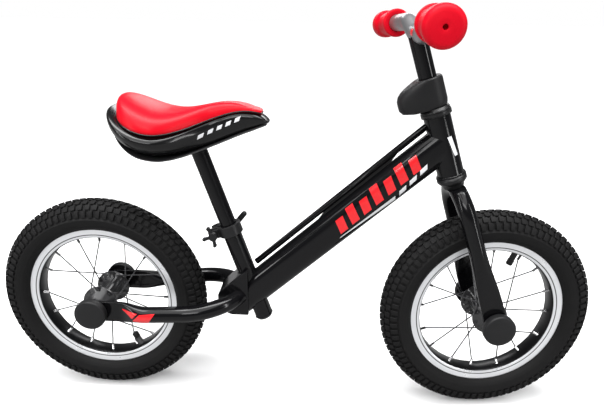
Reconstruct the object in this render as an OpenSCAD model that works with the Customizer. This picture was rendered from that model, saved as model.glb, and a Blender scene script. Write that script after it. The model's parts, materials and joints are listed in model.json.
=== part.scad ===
// Child's balance bike: steel frame, two 12 inch air-tyred wheels, no pedals, chain or brakes.
// +X is forward, +Y is the rider's left, +Z is up.
// The origin is on the ground, in the frame's middle plane, midway between the wheel centres.

/* [Wheels] */
// Distance between the wheel centres
wheelbase = 546; // [520:1:580]
// Outside diameter of the tyre
tyre_od = 297; // [295:1:300]
// Width of the tyre
tyre_w = 47; // [44:1:48]
// Number of spokes in each wheel
spoke_count = 16; // [16, 20]
// Outside radius of the rim's flanges
rim_r = 108; // [107:0.5:109]
// Diameter of the axles
axle_d = 9.5; // [9.4:0.1:10]

/* [Steering] */
// Angle of the steering axis above the horizontal, in degrees
head_angle = 71.2; // [69:0.1:73]
// How far the front end is turned to the left at rest, in degrees
rest_turn = 6; // [0:1:10]
// How far the handlebar is set back from the wheel's heading, in degrees
bar_trim = 3.5; // [0:0.5:6]
// Height of the handlebar's middle above the front wheel centre, along the steering axis
bar_h = 390; // [384:1:400]
// Rise of the handlebar from its middle to its grips
bar_rise = 15; // [10:1:20]
// Sideways distance from the middle to each grip's outer face
bar_half_w = 196; // [190:1:205]
// Backward sweep of each end of the handlebar, in degrees
bar_sweep = 5.5; // [0:0.5:9]

/* [Seat] */
// Angle of the seat tube above the horizontal, in degrees
seat_angle = 71; // [70:0.5:72]
// Length of the seat post
post_l = 222; // [200:1:226]
// Diameter of the seat post
post_d = 22.2; // [22:0.1:22.4]
// Length of the saddle
saddle_l = 202; // [195:1:210]
// Width of the saddle at the tail
saddle_w = 125; // [118:1:130]
// Width of the saddle near the nose
saddle_nose_w = 33; // [30:1:40]

/* [Frame] */
// Height of the main tube's oval section
main_h = 45; // [42:0.5:46]
// Width of the main tube's oval section
main_w = 34; // [32:0.5:36]
// Slope of the main tube, in degrees
main_slope = 41.9; // [41:0.1:43]
// Diameter of the thin top tube
top_d = 8.5; // [8:0.5:9]
// Diameter of the chainstays
stay_d = 22; // [20:0.1:24]

/* [Hidden] */
$fn = 96;
SIDES = 24;

// Derived places
axle_z = tyre_od / 2;
rear_x = -wheelbase / 2;
front_x = wheelbase / 2;

// Hub and axle stack, as distances from the wheel's middle plane
bearing_in = 30;
bearing_out = 38;
locknut_out = 45;
dropout_in = 45.2;
dropout_out = 50.2;
washer_out = 51.8;
nut_out = 59.5;
axle_half = 60.5;
cap_out = 64;
cap_r = 21.6;
cap_wall = 2;
nut_flats = 15;
hub_barrel_r = 14;
hub_flange_r = 24;
hub_flange_y = 24;
spoke_circle_r = 20;
spoke_d = 1.8;
nipple_in_r = 86;

// Tyre and rim section
section_r = tyre_w / 2;
section_ring_r = tyre_od / 2 - section_r;
bead_r = 101.5;
rim_floor_r = 96.5;
rim_inner_r = 94;
rim_half_w = 13.2;
rim_lip = 1.6;
valve_angle_rear = -62;
valve_angle_front = 49.5;
valve_r = 4.1;
chamber_r = section_r - 4.4;

// Steering column, as distances above the front wheel centre along the steering axis
head_low = 208;
head_high = 290;
head_r = 17;
head_wall = 1.8;
cup_r = 19.4;
cup_bore_r = 16;
steerer_r = 12.7;
crown_h = 192;
steerer_top = 330;
quill_r = 11.1;
quill_low = 232;
clamp_low = 308;
clamp_high = 333;
cover_low = 300.8;
cover_high = 338;
cover_r = 17.8;
fork_y = (dropout_in + dropout_out) / 2;
blade_r = stay_d / 2;
blade_arc_r = 46;
blade_in = 58;
blade_arc = 54;

// Seat tube frame: its foot, and heights along it
foot_x = -41;
foot_z = 126;
seat_tube_l = 146;
seat_tube_r = 12.7;
collar_h0 = 133;
collar_h = 15;
collar_r = 16.5;
post_bottom = 58;
post_gap = 0.05;

// Main tube: a point on its axis, its end cut, and its far end on the head tube
main_x = -21.5;
main_z = 196.2;
main_end_x = -61;
tube_wall = 1.6;
top_x = -26.9;
top_z = 231.5;
top_slope = 42.1;

// Chainstays, in plan and in side view
stay_pitch = 6.5;
stay_flare = 4.7;
stay_arc_r = 76.3;
stay_arc_deg = 66;
stay_run = 51;
stay_plate_x = 36;
stay_tube_x = 75;
stay_offset = 5.8;
dropout_half = (dropout_out - dropout_in) / 2;
yoke_half_w = 20;

// Handlebar and grips
bar_r = 11.1;
bar_mid = 14;
bar_bend_r = 30;
bar_bend = 30;
bar_fwd = 3;
grip_l = 84;
grip_bulb_r = 19.3;
grip_flange_r = 18.7;
grip_waist_r = 15.5;
grip_hole_r = 2.4;

// Saddle: control heights from tail to nose for its top, its seam and its underside
top_h = [458, 439, 386, 442, 454, 410];
seam_h = [425, 394.5, 383.5, 403, 443, 414];
low_h = [388, 357, 356.5, 364, 398, 402];
saddle_tail_x = -232.5;
saddle_steps = [0.01, 0.03, 0.07, 0.12, 0.18, 0.26, 0.34, 0.42, 0.5, 0.58, 0.66, 0.74, 0.82, 0.9, 0.95, 0.98, 1];
pad_from = 0.066;
pad_to = 0.972;

// Quick-release skewer behind the seat tube
skewer_x = -23;
skewer_h = 140;
skewer_r = 2.5;
lever_y = 16.5;

// ---------- helper shapes ----------

module at_rear_wheel() translate([rear_x, 0, axle_z]) children();

// Steering frame: origin at the front wheel centre, +Z up along the steering axis
module at_steering() translate([front_x, 0, axle_z]) rotate([0, head_angle - 90, 0]) children();

module at_fork() at_steering() rotate([0, 0, rest_turn]) children();

module at_bar() at_steering() rotate([0, 0, rest_turn - bar_trim]) children();

// Seat tube frame: origin at the tube's foot, +Z up along the tube
module at_seat_tube() translate([foot_x, 0, foot_z]) rotate([0, seat_angle - 90, 0]) children();

// A cylinder along Y between two distances from the middle plane
module y_rod(r, y0, y1) translate([0, y0, 0]) rotate([-90, 0, 0]) cylinder(r = r, h = y1 - y0);

module y_ring(r_out, r_in, y0, y1) difference() {
    y_rod(r_out, y0, y1);
    y_rod(r_in, y0 - 1, y1 + 1);
}

module both_sides() {
    children();
    mirror([0, 1, 0]) children();
}

module tube(r, l, wall = tube_wall) difference() {
    cylinder(r = r, h = l);
    translate([0, 0, -1]) cylinder(r = r - wall, h = l + 2);
}

// An upright oval
module oval(w, h) hull() for (s = [-1, 1]) translate([0, s * (h - w) / 2]) circle(d = w, $fn = 64);

// ---------- swept tubes ----------

function unit(v) = v / norm(v);
function bulge(x, e) = sign(x) * pow(abs(x), e);
function smooth(t) = let (u = max(0, min(1, t))) u * u * (3 - 2 * u);
function mix(a, b, t) = a * (1 - t) + b * t;

// A ring of points round c, square to t: half sizes a and b, boxier as e falls below 1
function section(c, t, ref, a, b, e = 1) = let (u = unit(cross(ref, t)), v = cross(unit(t), u))
    [for (i = [0 : SIDES - 1]) c + a * bulge(cos(360 * i / SIDES), e) * u + b * bulge(sin(360 * i / SIDES), e) * v];

// The direction of a path at its point i
function heading(path, i) = path[min(i + 1, len(path) - 1)] - path[max(i - 1, 0)];

function skin(from, rings, n, flip) = [for (j = [0 : rings - 2]) for (i = [0 : n - 1])
    let (q = [from + j * n + i, from + j * n + (i + 1) % n, from + (j + 1) * n + (i + 1) % n, from + (j + 1) * n + i])
    flip ? q : [q[3], q[2], q[1], q[0]]];

function lid(from, n, flip) = [for (i = [0 : n - 1]) from + (flip ? i : n - 1 - i)];

function annulus(outer, inner, n, flip) = [for (i = [0 : n - 1])
    let (k = (i + 1) % n, q = [outer + i, inner + i, inner + k, outer + k]) flip ? q : [q[3], q[2], q[1], q[0]]];

// A solid through closed rings
module loft(rings) {
    n = len(rings[0]);
    polyhedron(points = [for (r = rings) each r],
        faces = concat(skin(0, len(rings), n, false), [lid(0, n, true)], [lid((len(rings) - 1) * n, n, false)]));
}

// A tube open at its first ring and closed at its last; the hollow stops at the last inner ring
module cup_loft(outer, inner) {
    n = len(outer[0]);
    k = len(outer) * n;
    polyhedron(points = concat([for (r = outer) each r], [for (r = inner) each r]),
        faces = concat(skin(0, len(outer), n, false), [lid(k - n, n, false)],
            skin(k, len(inner), n, true), [lid(k + (len(inner) - 1) * n, n, true)], annulus(0, k, n, false)));
}

// A tube open at both ends
module pipe_loft(outer, inner) {
    n = len(outer[0]);
    k = len(outer) * n;
    polyhedron(points = concat([for (r = outer) each r], [for (r = inner) each r]),
        faces = concat(skin(0, len(outer), n, false), skin(k, len(inner), n, true),
            annulus(0, k, n, false), annulus(k - n, 2 * k - n, n, true)));
}

// ---------- wheel, built about its own centre with the axle along Y ----------

module wheel_axle() color("silver") y_rod(axle_d / 2, -axle_half, axle_half);

module locknuts() color("dimgray") both_sides() difference() {
    union() {
        y_rod(8.5, bearing_out + 0.4, 42);
        y_rod(9.5, 42, locknut_out);
    }
    y_rod(axle_d / 2, 0, axle_half);
}

module washers() color("silver") both_sides() y_ring(10, axle_d / 2, dropout_out, washer_out);

module axle_nuts() color("silver") both_sides() difference() {
    translate([0, washer_out, 0]) rotate([-90, 0, 0])
        cylinder(d = nut_flats / cos(30), h = nut_out - washer_out, $fn = 6);
    y_rod(axle_d / 2, 0, axle_half);
}

// A domed plastic cap that grips the axle nut with an inner sleeve
module axle_caps() color([0.16, 0.16, 0.17]) both_sides() {
    rotate([-90, 0, 0]) rotate_extrude() polygon([
        [cap_r - cap_wall, washer_out + 0.4], [cap_r, washer_out + 0.4], [cap_r, cap_out - 3],
        [cap_r - 1, cap_out - 1.2], [cap_r - 3, cap_out - 0.3], [cap_r - 5, cap_out],
        [0, cap_out], [0, cap_out - cap_wall], [cap_r - cap_wall, cap_out - cap_wall - 1.2]]);
    y_ring(nut_flats / 2 / cos(30) + 2, nut_flats / 2 / cos(30), washer_out + 1.5, cap_out - cap_wall);
}

module hub_bearings() color("silver") both_sides() y_ring(11, axle_d / 2 + 0.05, bearing_in, bearing_out);

module hub() color([0.1, 0.1, 0.1]) difference() {
    union() {
        y_rod(hub_barrel_r, -bearing_out + 0.5, bearing_out - 0.5);
        both_sides() {
            y_rod(hub_flange_r, hub_flange_y - 1.5, hub_flange_y + 1.5);
            y_rod(17, hub_flange_y + 1.5, bearing_out - 3);
        }
    }
    y_rod(axle_d / 2 + 2.5, -50, 50);
    both_sides() y_rod(11, bearing_in, 50);
    both_sides() for (i = [0 : spoke_count / 2 - 1])
        rotate([0, i * 720 / spoke_count, 0]) translate([spoke_circle_r, 0, 0])
            y_rod(1.2, hub_flange_y - 2, hub_flange_y + 2);
}

// Each flange holds half the spokes; they cross in pairs on their way to the rim
module each_spoke() for (side = [-1, 1]) for (i = [0 : spoke_count / 2 - 1]) {
    step = 720 / spoke_count;
    hub_a = i * step + (side > 0 ? step / 2 : 0);
    rim_a = hub_a + (i % 2 == 0 ? step : -step);
    $hub_p = [spoke_circle_r * cos(hub_a), side * hub_flange_y, spoke_circle_r * sin(hub_a)];
    $head_y = side * (i % 2 == 0 ? 1 : -1);
    $rim_a = rim_a;
    $rim_y = side * 3;
    children();
}

module rod_between(a, b, d) {
    v = b - a;
    translate(a) rotate([0, acos(v[2] / norm(v)), atan2(v[1], v[0])]) cylinder(d = d, h = norm(v), $fn = 16);
}

module spokes() color([0.15, 0.15, 0.15]) each_spoke() {
    outer = $hub_p + [0, $head_y * 2.4, 0];
    tip = [(nipple_in_r + 1) * cos($rim_a), $rim_y, (nipple_in_r + 1) * sin($rim_a)];
    rod_between(outer, tip, spoke_d);
    rod_between($hub_p - [0, $head_y * 2.6, 0], outer + [0, $head_y * 0.5, 0], spoke_d);
}

module nipples() color("silver") each_spoke()
    rotate([0, -$rim_a, 0]) translate([0, $rim_y, 0]) rotate([0, 90, 0]) {
        translate([0, 0, nipple_in_r]) cylinder(d = 3.6, h = rim_floor_r - nipple_in_r, $fn = 16);
        translate([0, 0, rim_floor_r]) cylinder(d = 5.4, h = 1.4, $fn = 16);
    }

module rim(valve_angle) color("silver") difference() {
    rotate([-90, 0, 0]) rotate_extrude() polygon([
        [rim_inner_r, -10.5], [rim_inner_r, 10.5], [rim_inner_r + 1.5, 12.6],
        [rim_inner_r + 4, rim_half_w], [rim_r, rim_half_w + 0.3], [rim_r, rim_half_w - rim_lip],
        [bead_r, rim_half_w - rim_lip - 0.2], [bead_r - 1, 9], [rim_floor_r, 7],
        [rim_floor_r, -7], [bead_r - 1, -9], [bead_r, -rim_half_w + rim_lip + 0.2],
        [rim_r, -rim_half_w + rim_lip], [rim_r, -rim_half_w - 0.3],
        [rim_inner_r + 4, -rim_half_w], [rim_inner_r + 1.5, -12.6]]);
    each_spoke() rotate([0, -$rim_a, 0]) translate([rim_inner_r - 2, $rim_y, 0])
        rotate([0, 90, 0]) cylinder(d = 3.6, h = 8, $fn = 16);
    rotate([0, -valve_angle, 0]) translate([rim_inner_r - 2, 0, 0]) rotate([0, 90, 0])
        cylinder(r = valve_r + 0.1, h = 8);
}

// Air chamber with its valve stem moulded on
module inner_tube(valve_angle) color("dimgray") {
    rotate([-90, 0, 0]) rotate_extrude() translate([section_ring_r, 0]) difference() {
        circle(r = chamber_r);
        circle(r = chamber_r - 1.2);
    }
    rotate([0, 90 - valve_angle, 0]) {
        translate([0, 0, 78]) cylinder(r = 3, h = 6);
        translate([0, 0, 83]) cylinder(r = valve_r, h = section_ring_r - chamber_r + 1 - 83);
    }
}

// The tyre's casing, a hooked bead on each side, with the tread's thickness at the crown
module tyre() color([0.12, 0.12, 0.12]) rotate([-90, 0, 0]) rotate_extrude() difference() {
    union() {
        intersection() {
            translate([section_ring_r, 0]) circle(r = section_r);
            translate([rim_r + 0.2, -50]) square([100, 100]);
        }
        for (s = [-1, 1]) translate([bead_r, s * 9.6 - 1.8]) square([8, 3.6]);
    }
    translate([section_ring_r, 0]) circle(r = section_r - 4.2);
    translate([bead_r - 1, -7.8]) square([12, 15.6]);
}

module valve_cap(valve_angle) color([0.1, 0.1, 0.1]) rotate([0, -valve_angle, 0]) rotate([0, 90, 0])
    difference() {
        union() {
            translate([0, 0, 75]) cylinder(r = 4.6, h = 7);
            translate([0, 0, 73.5]) cylinder(r1 = 3.4, r2 = 4.6, h = 1.5);
        }
        translate([0, 0, 77.8]) cylinder(r = 3, h = 6);
    }

// ---------- frame ----------

module along_main() translate([main_x, 0, main_z]) rotate([0, 90 - main_slope, 0]) children();

module main_tube() color([0.08, 0.08, 0.09]) difference() {
    along_main() rotate([0, 0, 90]) translate([0, 0, -120]) linear_extrude(420) difference() {
        oval(main_w, main_h);
        oval(main_w - 2 * tube_wall, main_h - 2 * tube_wall);
    }
    translate([main_end_x - 200, -50, 0]) cube([200, 100, 300]);
    at_seat_tube() cylinder(r = seat_tube_r, h = 200);
    at_steering() translate([0, 0, 100]) cylinder(r = head_r, h = 300);
    at_steering() translate([0, -50, 100]) cube([200, 100, 400]);
}

module top_tube() color([0.08, 0.08, 0.09]) difference() {
    translate([top_x, 0, top_z]) rotate([0, 90 - top_slope, 0]) translate([0, 0, -32])
        cylinder(d = top_d, h = 340);
    at_seat_tube() cylinder(r = seat_tube_r, h = 200);
    at_steering() translate([0, 0, 100]) cylinder(r = head_r, h = 300);
    at_steering() translate([0, -50, 100]) cube([200, 100, 400]);
}

// Thin plate that joins the two tubes along the middle of their length
module web_plate() color([0.08, 0.08, 0.09]) {
    gap_low = main_z + main_h / 2 / cos(main_slope) - main_x * tan(main_slope);
    gap_high = top_z - top_d / 2 / cos(top_slope) - top_x * tan(top_slope);
    rotate([90, 0, 0]) translate([0, 0, -1.5]) linear_extrude(3) polygon([
        [34, gap_low + 34 * tan(main_slope)], [126, gap_low + 126 * tan(main_slope)],
        [134, gap_high + 134 * tan(top_slope)], [42, gap_high + 42 * tan(top_slope)]]);
}

module head_tube() color([0.08, 0.08, 0.09]) at_steering() translate([0, 0, head_low])
    tube(head_r, head_high - head_low, head_wall);

module seat_tube() color([0.08, 0.08, 0.09]) at_seat_tube() difference() {
    cylinder(r = seat_tube_r, h = seat_tube_l);
    translate([0, 0, -1]) cylinder(r = post_d / 2 + post_gap, h = seat_tube_l + 2);
    translate([-20, -1, seat_tube_l - 24]) cube([20, 2, 30]);
}

module seat_tube_plug() color([0.1, 0.1, 0.1]) at_seat_tube() {
    translate([0, 0, -4]) cylinder(r1 = 10.5, r2 = 13.4, h = 4);
    cylinder(r = post_d / 2 - 0.4, h = 8);
}

// Pressed box that closes the rear of the main tube and carries both chainstays
module yoke() color([0.08, 0.08, 0.09]) difference() {
    rotate([90, 0, 0]) translate([0, 0, -yoke_half_w]) linear_extrude(2 * yoke_half_w) yoke_outline();
    rotate([90, 0, 0]) translate([0, 0, -yoke_half_w + 2.5]) linear_extrude(2 * yoke_half_w - 5)
        translate([-80, 165]) scale(0.86) translate([80, -165]) yoke_outline();
    at_seat_tube() cylinder(r = seat_tube_r, h = 200);
}

module yoke_outline() polygon([
    [main_end_x, 205], [-77, 193], [-101, 170], [-104, 165], [-104, 153], [-101, 146], [-95, 138],
    [-85, 133.5], [main_end_x, 133.5]]);

// Left chainstay, from inside the yoke, round the tyre, to a flattened dropout
stay_dir = unit([cos(stay_pitch) * cos(stay_flare), sin(stay_flare), sin(stay_pitch) * cos(stay_flare)]);
stay_in = unit(cross([0, 0, 1], stay_dir));
stay_foot = [stay_tube_x, fork_y + stay_offset, 0];
function stay_axis(s) = s < stay_plate_x ? [s, fork_y, 0]
    : s < stay_tube_x ? [s, fork_y + stay_offset * smooth((s - stay_plate_x) / (stay_tube_x - stay_plate_x)), 0]
    : s < stay_tube_x + stay_run ? stay_foot + (s - stay_tube_x) * stay_dir
    : let (a = min(stay_arc_deg, (s - stay_tube_x - stay_run) / stay_arc_r * 180 / PI),
           rest = max(0, s - stay_tube_x - stay_run - stay_arc_deg * PI / 180 * stay_arc_r))
      stay_foot + (stay_run + stay_arc_r * sin(a) + rest * cos(a)) * stay_dir
          - (stay_arc_r * (1 - cos(a)) + rest * sin(a)) * stay_in;
stay_stops = [222, 214, 206, 196, 186, 176, 166, 156, 146, 136, 126, 75, 68, 60, 52, 44, 36, 12,
    -4, -9, -13, -14.6];
function plate_ring(path, stops, i, ref, x0, x1, half_h) =
    let (k = smooth((stops[i] - x0) / (x1 - x0)), edge = sqrt(max(0.01, 1 - pow(min(0, stops[i]) / half_h, 2))))
    section(path[i], heading(path, i), ref, mix(dropout_half, blade_r, k), mix(half_h * edge, blade_r, k),
        mix(0.2, 1, k));

module chainstay() color([0.08, 0.08, 0.09]) difference() {
    path = [for (s = stay_stops) stay_axis(s)];
    at_rear_wheel() cup_loft(
        [for (i = [0 : len(path) - 1]) plate_ring(path, stay_stops, i, [0, 0, -1], stay_plate_x, stay_tube_x, 15)],
        [for (i = [0 : 11]) section(path[i], heading(path, i), [0, 0, -1], blade_r - tube_wall, blade_r - tube_wall)]);
    at_rear_wheel() y_rod(axle_d / 2 + 0.15, 40, 60);
    translate([-160, -yoke_half_w, 50]) cube([120, 2 * yoke_half_w, 200]);
}

module left_chainstay() chainstay();

module right_chainstay() mirror([0, 1, 0]) chainstay();

// ---------- headset ----------

module lower_headset_cup() color("dimgray") at_steering() difference() {
    union() {
        translate([0, 0, head_low - 10]) cylinder(r1 = 16.6, r2 = cup_r, h = 3.5);
        translate([0, 0, head_low - 6.5]) cylinder(r = cup_r, h = 6.5);
        translate([0, 0, head_low]) cylinder(r = head_r - head_wall, h = 8);
    }
    translate([0, 0, head_low - 11]) cylinder(r = steerer_r + 0.6, h = 30);
    translate([0, 0, head_low - 11]) cylinder(r = cup_bore_r, h = 6);
}

module upper_headset_cup() color("dimgray") at_steering() difference() {
    union() {
        translate([0, 0, head_high]) cylinder(r = cup_r, h = 5);
        translate([0, 0, head_high - 8]) cylinder(r = head_r - head_wall, h = 8);
    }
    translate([0, 0, head_high - 10]) cylinder(r = steerer_r + 0.6, h = 30);
    translate([0, 0, head_high + 1]) cylinder(r = cup_bore_r, h = 6);
}

module headset_bearing(low) color("silver") at_steering() translate([0, 0, low])
    tube(cup_bore_r, 4, cup_bore_r - steerer_r - 0.05);

module lower_headset_bearing() headset_bearing(head_low - 9);

module upper_headset_bearing() headset_bearing(head_high + 1);

// Threaded ring that closes the headset, under the stem clamp
module headset_locknut() color("dimgray") at_fork() translate([0, 0, head_high + 5.4]) difference() {
    union() {
        cylinder(r = cup_r - 0.8, h = 2.6);
        translate([0, 0, 2.6]) cylinder(r = cup_r - 2, h = 2.4);
    }
    translate([0, 0, -1]) cylinder(r = steerer_r, h = 8);
}

module crown_race() color("dimgray") at_fork() translate([0, 0, crown_h]) difference() {
    cylinder(r1 = 13.6, r2 = 15, h = 5.2);
    translate([0, 0, -1]) cylinder(r = steerer_r, h = 8);
}

// ---------- fork ----------

module steerer() color([0.08, 0.08, 0.09]) at_fork() difference() {
    translate([0, 0, crown_h]) cylinder(r = steerer_r, h = steerer_top - crown_h);
    translate([0, 0, crown_h + 6]) cylinder(r = quill_r + 0.06, h = 200);
}

// Left blade: out of the crown, round the tyre, down to a flattened dropout
blade_top = [0, 16, crown_h - 3];
function blade_axis(s) = let (a = blade_in - max(0, min(blade_arc, s)))
    blade_top + [0, blade_arc_r * (cos(a) - cos(blade_in)), -blade_arc_r * (sin(blade_in) - sin(a))]
    + min(0, s) * [0, sin(blade_in), -cos(blade_in)]
    + max(0, s - blade_arc) * [0, sin(blade_in - blade_arc), -cos(blade_in - blade_arc)];
blade_stops = [-16, -2, 6, 14, 22, 30, 38, 46, 54, 86, 100];
blade_low = [78, 66, 54, 42, 28, 8, -4, -9, -13, -14.6];

module fork_blade() color([0.08, 0.08, 0.09]) difference() {
    upper = [for (s = blade_stops) blade_axis(s)];
    last = upper[len(upper) - 1];
    lower = [for (h = blade_low) [0, mix(last[1], fork_y, smooth((last[2] - h) / (last[2] - 28))), h]];
    path = concat(upper, lower);
    stops = [for (p = path) p[2]];
    cup_loft(
        [for (i = [0 : len(path) - 1]) plate_ring(path, stops, i, [1, 0, 0], 28, last[2], 15)],
        [for (i = [0 : len(upper) - 1]) let (r = mix(3, blade_r - tube_wall, smooth(i / 8)))
            section(path[i], heading(path, i), [1, 0, 0], r, r)]);
    y_rod(axle_d / 2 + 0.15, 40, 60);
    translate([-30, -60, 100]) cube([60, 60, 120]);
    translate([0, 0, crown_h]) cylinder(r = 40, h = 40);
}

module left_fork_blade() at_fork() fork_blade();

module right_fork_blade() at_fork() mirror([0, 1, 0]) fork_blade();

// ---------- stem and handlebar ----------

module stem_clamp() color([0.12, 0.12, 0.12]) at_fork() difference() {
    translate([0, 0, clamp_low]) union() {
        cylinder(r = steerer_r + 2.6, h = clamp_high - clamp_low);
        translate([-29, -8, 3]) cube([18, 16, 16]);
    }
    translate([0, 0, clamp_low - 1]) cylinder(r = steerer_r, h = 20);
    translate([0, 0, clamp_low + 10]) cylinder(r = steerer_r, h = 30);
    translate([-40, -1.2, clamp_low - 1]) cube([30, 2.4, 40]);
    translate([-22, 0, clamp_low + 11]) y_rod(3.1, -10, 10);
}

module stem_clamp_bolt() color("silver") at_fork() translate([-22, 0, clamp_low + 11]) {
    y_rod(3, -8, 11);
    difference() {
        y_rod(4.8, -12.5, -8);
        translate([0, -13, 0]) rotate([-90, 0, 0]) cylinder(r = 2.4, h = 3, $fn = 6);
    }
    translate([0, 8, 0]) rotate([-90, 0, 0]) cylinder(r = 5.2, h = 4, $fn = 6);
}

// Plastic cover round the clamp, with a rounded hump over the bolt at the rear
module cover_outline(r, back, half_w) {
    circle(r = r);
    translate([-back + half_w / 2, 0]) {
        translate([0, -half_w]) square([back, 2 * half_w]);
        for (s = [-1, 1]) translate([0, s * half_w / 2]) circle(r = half_w / 2);
        translate([-half_w / 2, -half_w / 2]) square([half_w, half_w]);
    }
}

module stem_clamp_cover() color([0.14, 0.14, 0.14]) at_fork() difference() {
    intersection() {
        translate([0, 0, cover_low]) linear_extrude(cover_high - cover_low) cover_outline(cover_r, 44, 15.5);
        rotate([90, 0, 0]) translate([0, 0, -40]) linear_extrude(80) polygon([
            [20, cover_low], [20, cover_high], [-8, cover_high], [-22, cover_high - 2],
            [-34, cover_high - 6], [-41, cover_high - 12], [-44, cover_high - 18],
            [-44, cover_low + 3], [-36, cover_low - 1], [-18, cover_low]]);
    }
    intersection() {
        translate([0, 0, cover_low - 1]) linear_extrude(clamp_high + 1 - cover_low)
            cover_outline(cover_r - 2, 41, 13.2);
        translate([-39, -40, cover_low - 2]) cube([80, 80, 31.5]);
    }
    cylinder(r = steerer_r + 0.5, h = cover_low + 5);
    translate([0, 0, cover_low + 5]) cylinder(r = steerer_r + 2.9, h = clamp_high + 0.4 - cover_low - 5);
    translate([0, 0, cover_high - 12]) cylinder(r = quill_r + 0.4, h = 20);
}

module stem() color([0.08, 0.08, 0.09]) at_bar() difference() {
    translate([0, 0, quill_low]) cylinder(r = quill_r, h = bar_h - quill_low);
    translate([0, 0, quill_low - 1]) cylinder(r = quill_r - 2, h = bar_h - quill_low - 20);
    translate([bar_fwd, 0, bar_h]) y_rod(bar_r, -30, 30);
}

// The middle of the bar, from its centre to just inside its straight end
bar_half = let (end = [0, bar_end_y(), bar_rise]) concat(
        [[0, 0, 0]],
        [for (a = [0 : 6 : bar_bend]) [0, bar_mid + bar_bend_r * sin(a), bar_bend_r * (1 - cos(a))]],
        [for (a = [bar_bend : -6 : 0]) [0, bar_end_y() - bar_bend_r * sin(a), bar_rise - bar_bend_r * (1 - cos(a))]],
        [end + 4 * [-sin(bar_sweep), cos(bar_sweep), 0]]);

function bar_slope_l() = (bar_rise - 2 * bar_bend_r * (1 - cos(bar_bend))) / sin(bar_bend);
function bar_end_y() = bar_mid + 2 * bar_bend_r * sin(bar_bend) + bar_slope_l() * cos(bar_bend);
function bar_end_l() = (bar_half_w - bar_end_y()) / cos(bar_sweep) - 4;

// The straight end: origin where the rise is complete, +Z outward along the bar
module bar_end() translate([0, bar_end_y(), bar_rise]) rotate([0, 0, bar_sweep]) rotate([-90, 0, 0]) children();

module at_bar_centre() at_bar() translate([bar_fwd, 0, bar_h]) children();

module handlebar() color([0.55, 0.55, 0.55]) at_bar_centre() {
    n = len(bar_half);
    path = concat([for (i = [n - 1 : -1 : 1]) [bar_half[i][0], -bar_half[i][1], bar_half[i][2]]], bar_half);
    pipe_loft(
        [for (i = [0 : len(path) - 1]) section(path[i], heading(path, i), [1, 0, 0], bar_r - 0.1, bar_r - 0.1)],
        [for (i = [0 : len(path) - 1]) section(path[i], heading(path, i), [1, 0, 0], bar_r - 1.7, bar_r - 1.7)]);
    both_sides() bar_end() tube(bar_r, bar_end_l());
}

// Soft grip: an inner flange, a waist, and a round bulb that closes the end
module grip() color([0.85, 0.1, 0.13]) bar_end() {
    end_l = bar_end_l() + 4;
    rotate_extrude() polygon(concat(
        [[bar_r, end_l - grip_l], [grip_flange_r - 1.5, end_l - grip_l]],
        [for (a = [-60 : 20 : 60]) [grip_flange_r - 4 + 4 * cos(a), end_l - grip_l + 5.5 + 5.5 * sin(a)]],
        [for (a = [0 : 15 : 180])
            [grip_waist_r + (grip_flange_r - grip_waist_r) / 2 * (1 + cos(a)) * 0.8,
             end_l - grip_l + 12 + 8 * a / 180]],
        [[grip_waist_r, end_l - 30]],
        [for (a = [-80 : 20 : 0]) [grip_bulb_r - 6 + 6 * cos(a), end_l - 17 + 10 * sin(a)]],
        [for (a = [0 : 15 : 75]) [grip_bulb_r - 6 + 6 * cos(a), end_l - 7 + 7 * sin(a)]],
        [[grip_hole_r, end_l], [grip_hole_r, end_l - 4], [bar_r, end_l - 4]]));
}

module left_grip() at_bar_centre() grip();

module right_grip() at_bar_centre() mirror([0, 1, 0]) grip();

// ---------- seat ----------

module seat_collar() color([0.1, 0.1, 0.1]) at_seat_tube() difference() {
    union() {
        translate([0, 0, collar_h0]) cylinder(r = collar_r, h = collar_h);
        translate([-30, -8, collar_h0 + 1]) cube([18, 16, collar_h - 3]);
    }
    translate([0, 0, collar_h0 - 1]) cylinder(r = seat_tube_r, h = seat_tube_l - collar_h0 + 1);
    translate([0, 0, seat_tube_l]) cylinder(r = post_d / 2 + 0.3, h = 10);
    translate([-40, -1.5, collar_h0 - 1]) cube([30, 3, collar_h + 2]);
    translate([skewer_x, 0, skewer_h]) y_rod(skewer_r + 0.1, -20, 20);
}

module collar_skewer() color("silver") at_seat_tube() translate([skewer_x, 0, skewer_h]) {
    y_rod(skewer_r, -14, lever_y - 4.2);
    translate([0, lever_y, -4]) cylinder(r = 2.5, h = 8);
    difference() {
        translate([-4, lever_y - 4.5, -2.5]) cube([8, 6, 5]);
        translate([0, lever_y, -4]) cylinder(r = 2.5, h = 8);
    }
}

// Nut with three prongs for the fingers
module collar_wing_nut() color([0.12, 0.12, 0.12]) at_seat_tube() translate([skewer_x, 0, skewer_h]) difference() {
    union() {
        y_rod(6, -16, -8.2);
        for (a = [100, 180, 260]) rotate([0, a, 0]) {
            translate([0, -15, -2]) cube([13, 5, 4]);
            translate([13, 0, 0]) y_rod(2.6, -15, -10);
        }
    }
    y_rod(skewer_r, -14, 0);
}

// Quick-release lever: a cam at the skewer's end and an arm that lies forward along the collar
module collar_lever() color([0.12, 0.12, 0.12]) at_seat_tube() translate([skewer_x, lever_y, skewer_h]) difference() {
    union() {
        translate([0, 0, -6]) cylinder(r = 7, h = 12);
        translate([2, 1.5, -4]) cube([30, 5, 8]);
        translate([29, 4.2, 0]) rotate([0, 58, 0]) {
            cylinder(r = 4, h = 17);
            translate([0, 0, 17]) sphere(r = 4);
        }
    }
    translate([0, 0, -7]) cylinder(r = 2.56, h = 14);
    translate([0, 0, -3]) cylinder(r = 7.4, h = 6);
}

module seat_post() color([0.08, 0.08, 0.09]) at_seat_tube() translate([0, 0, post_bottom])
    tube(post_d / 2, post_l);

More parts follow.
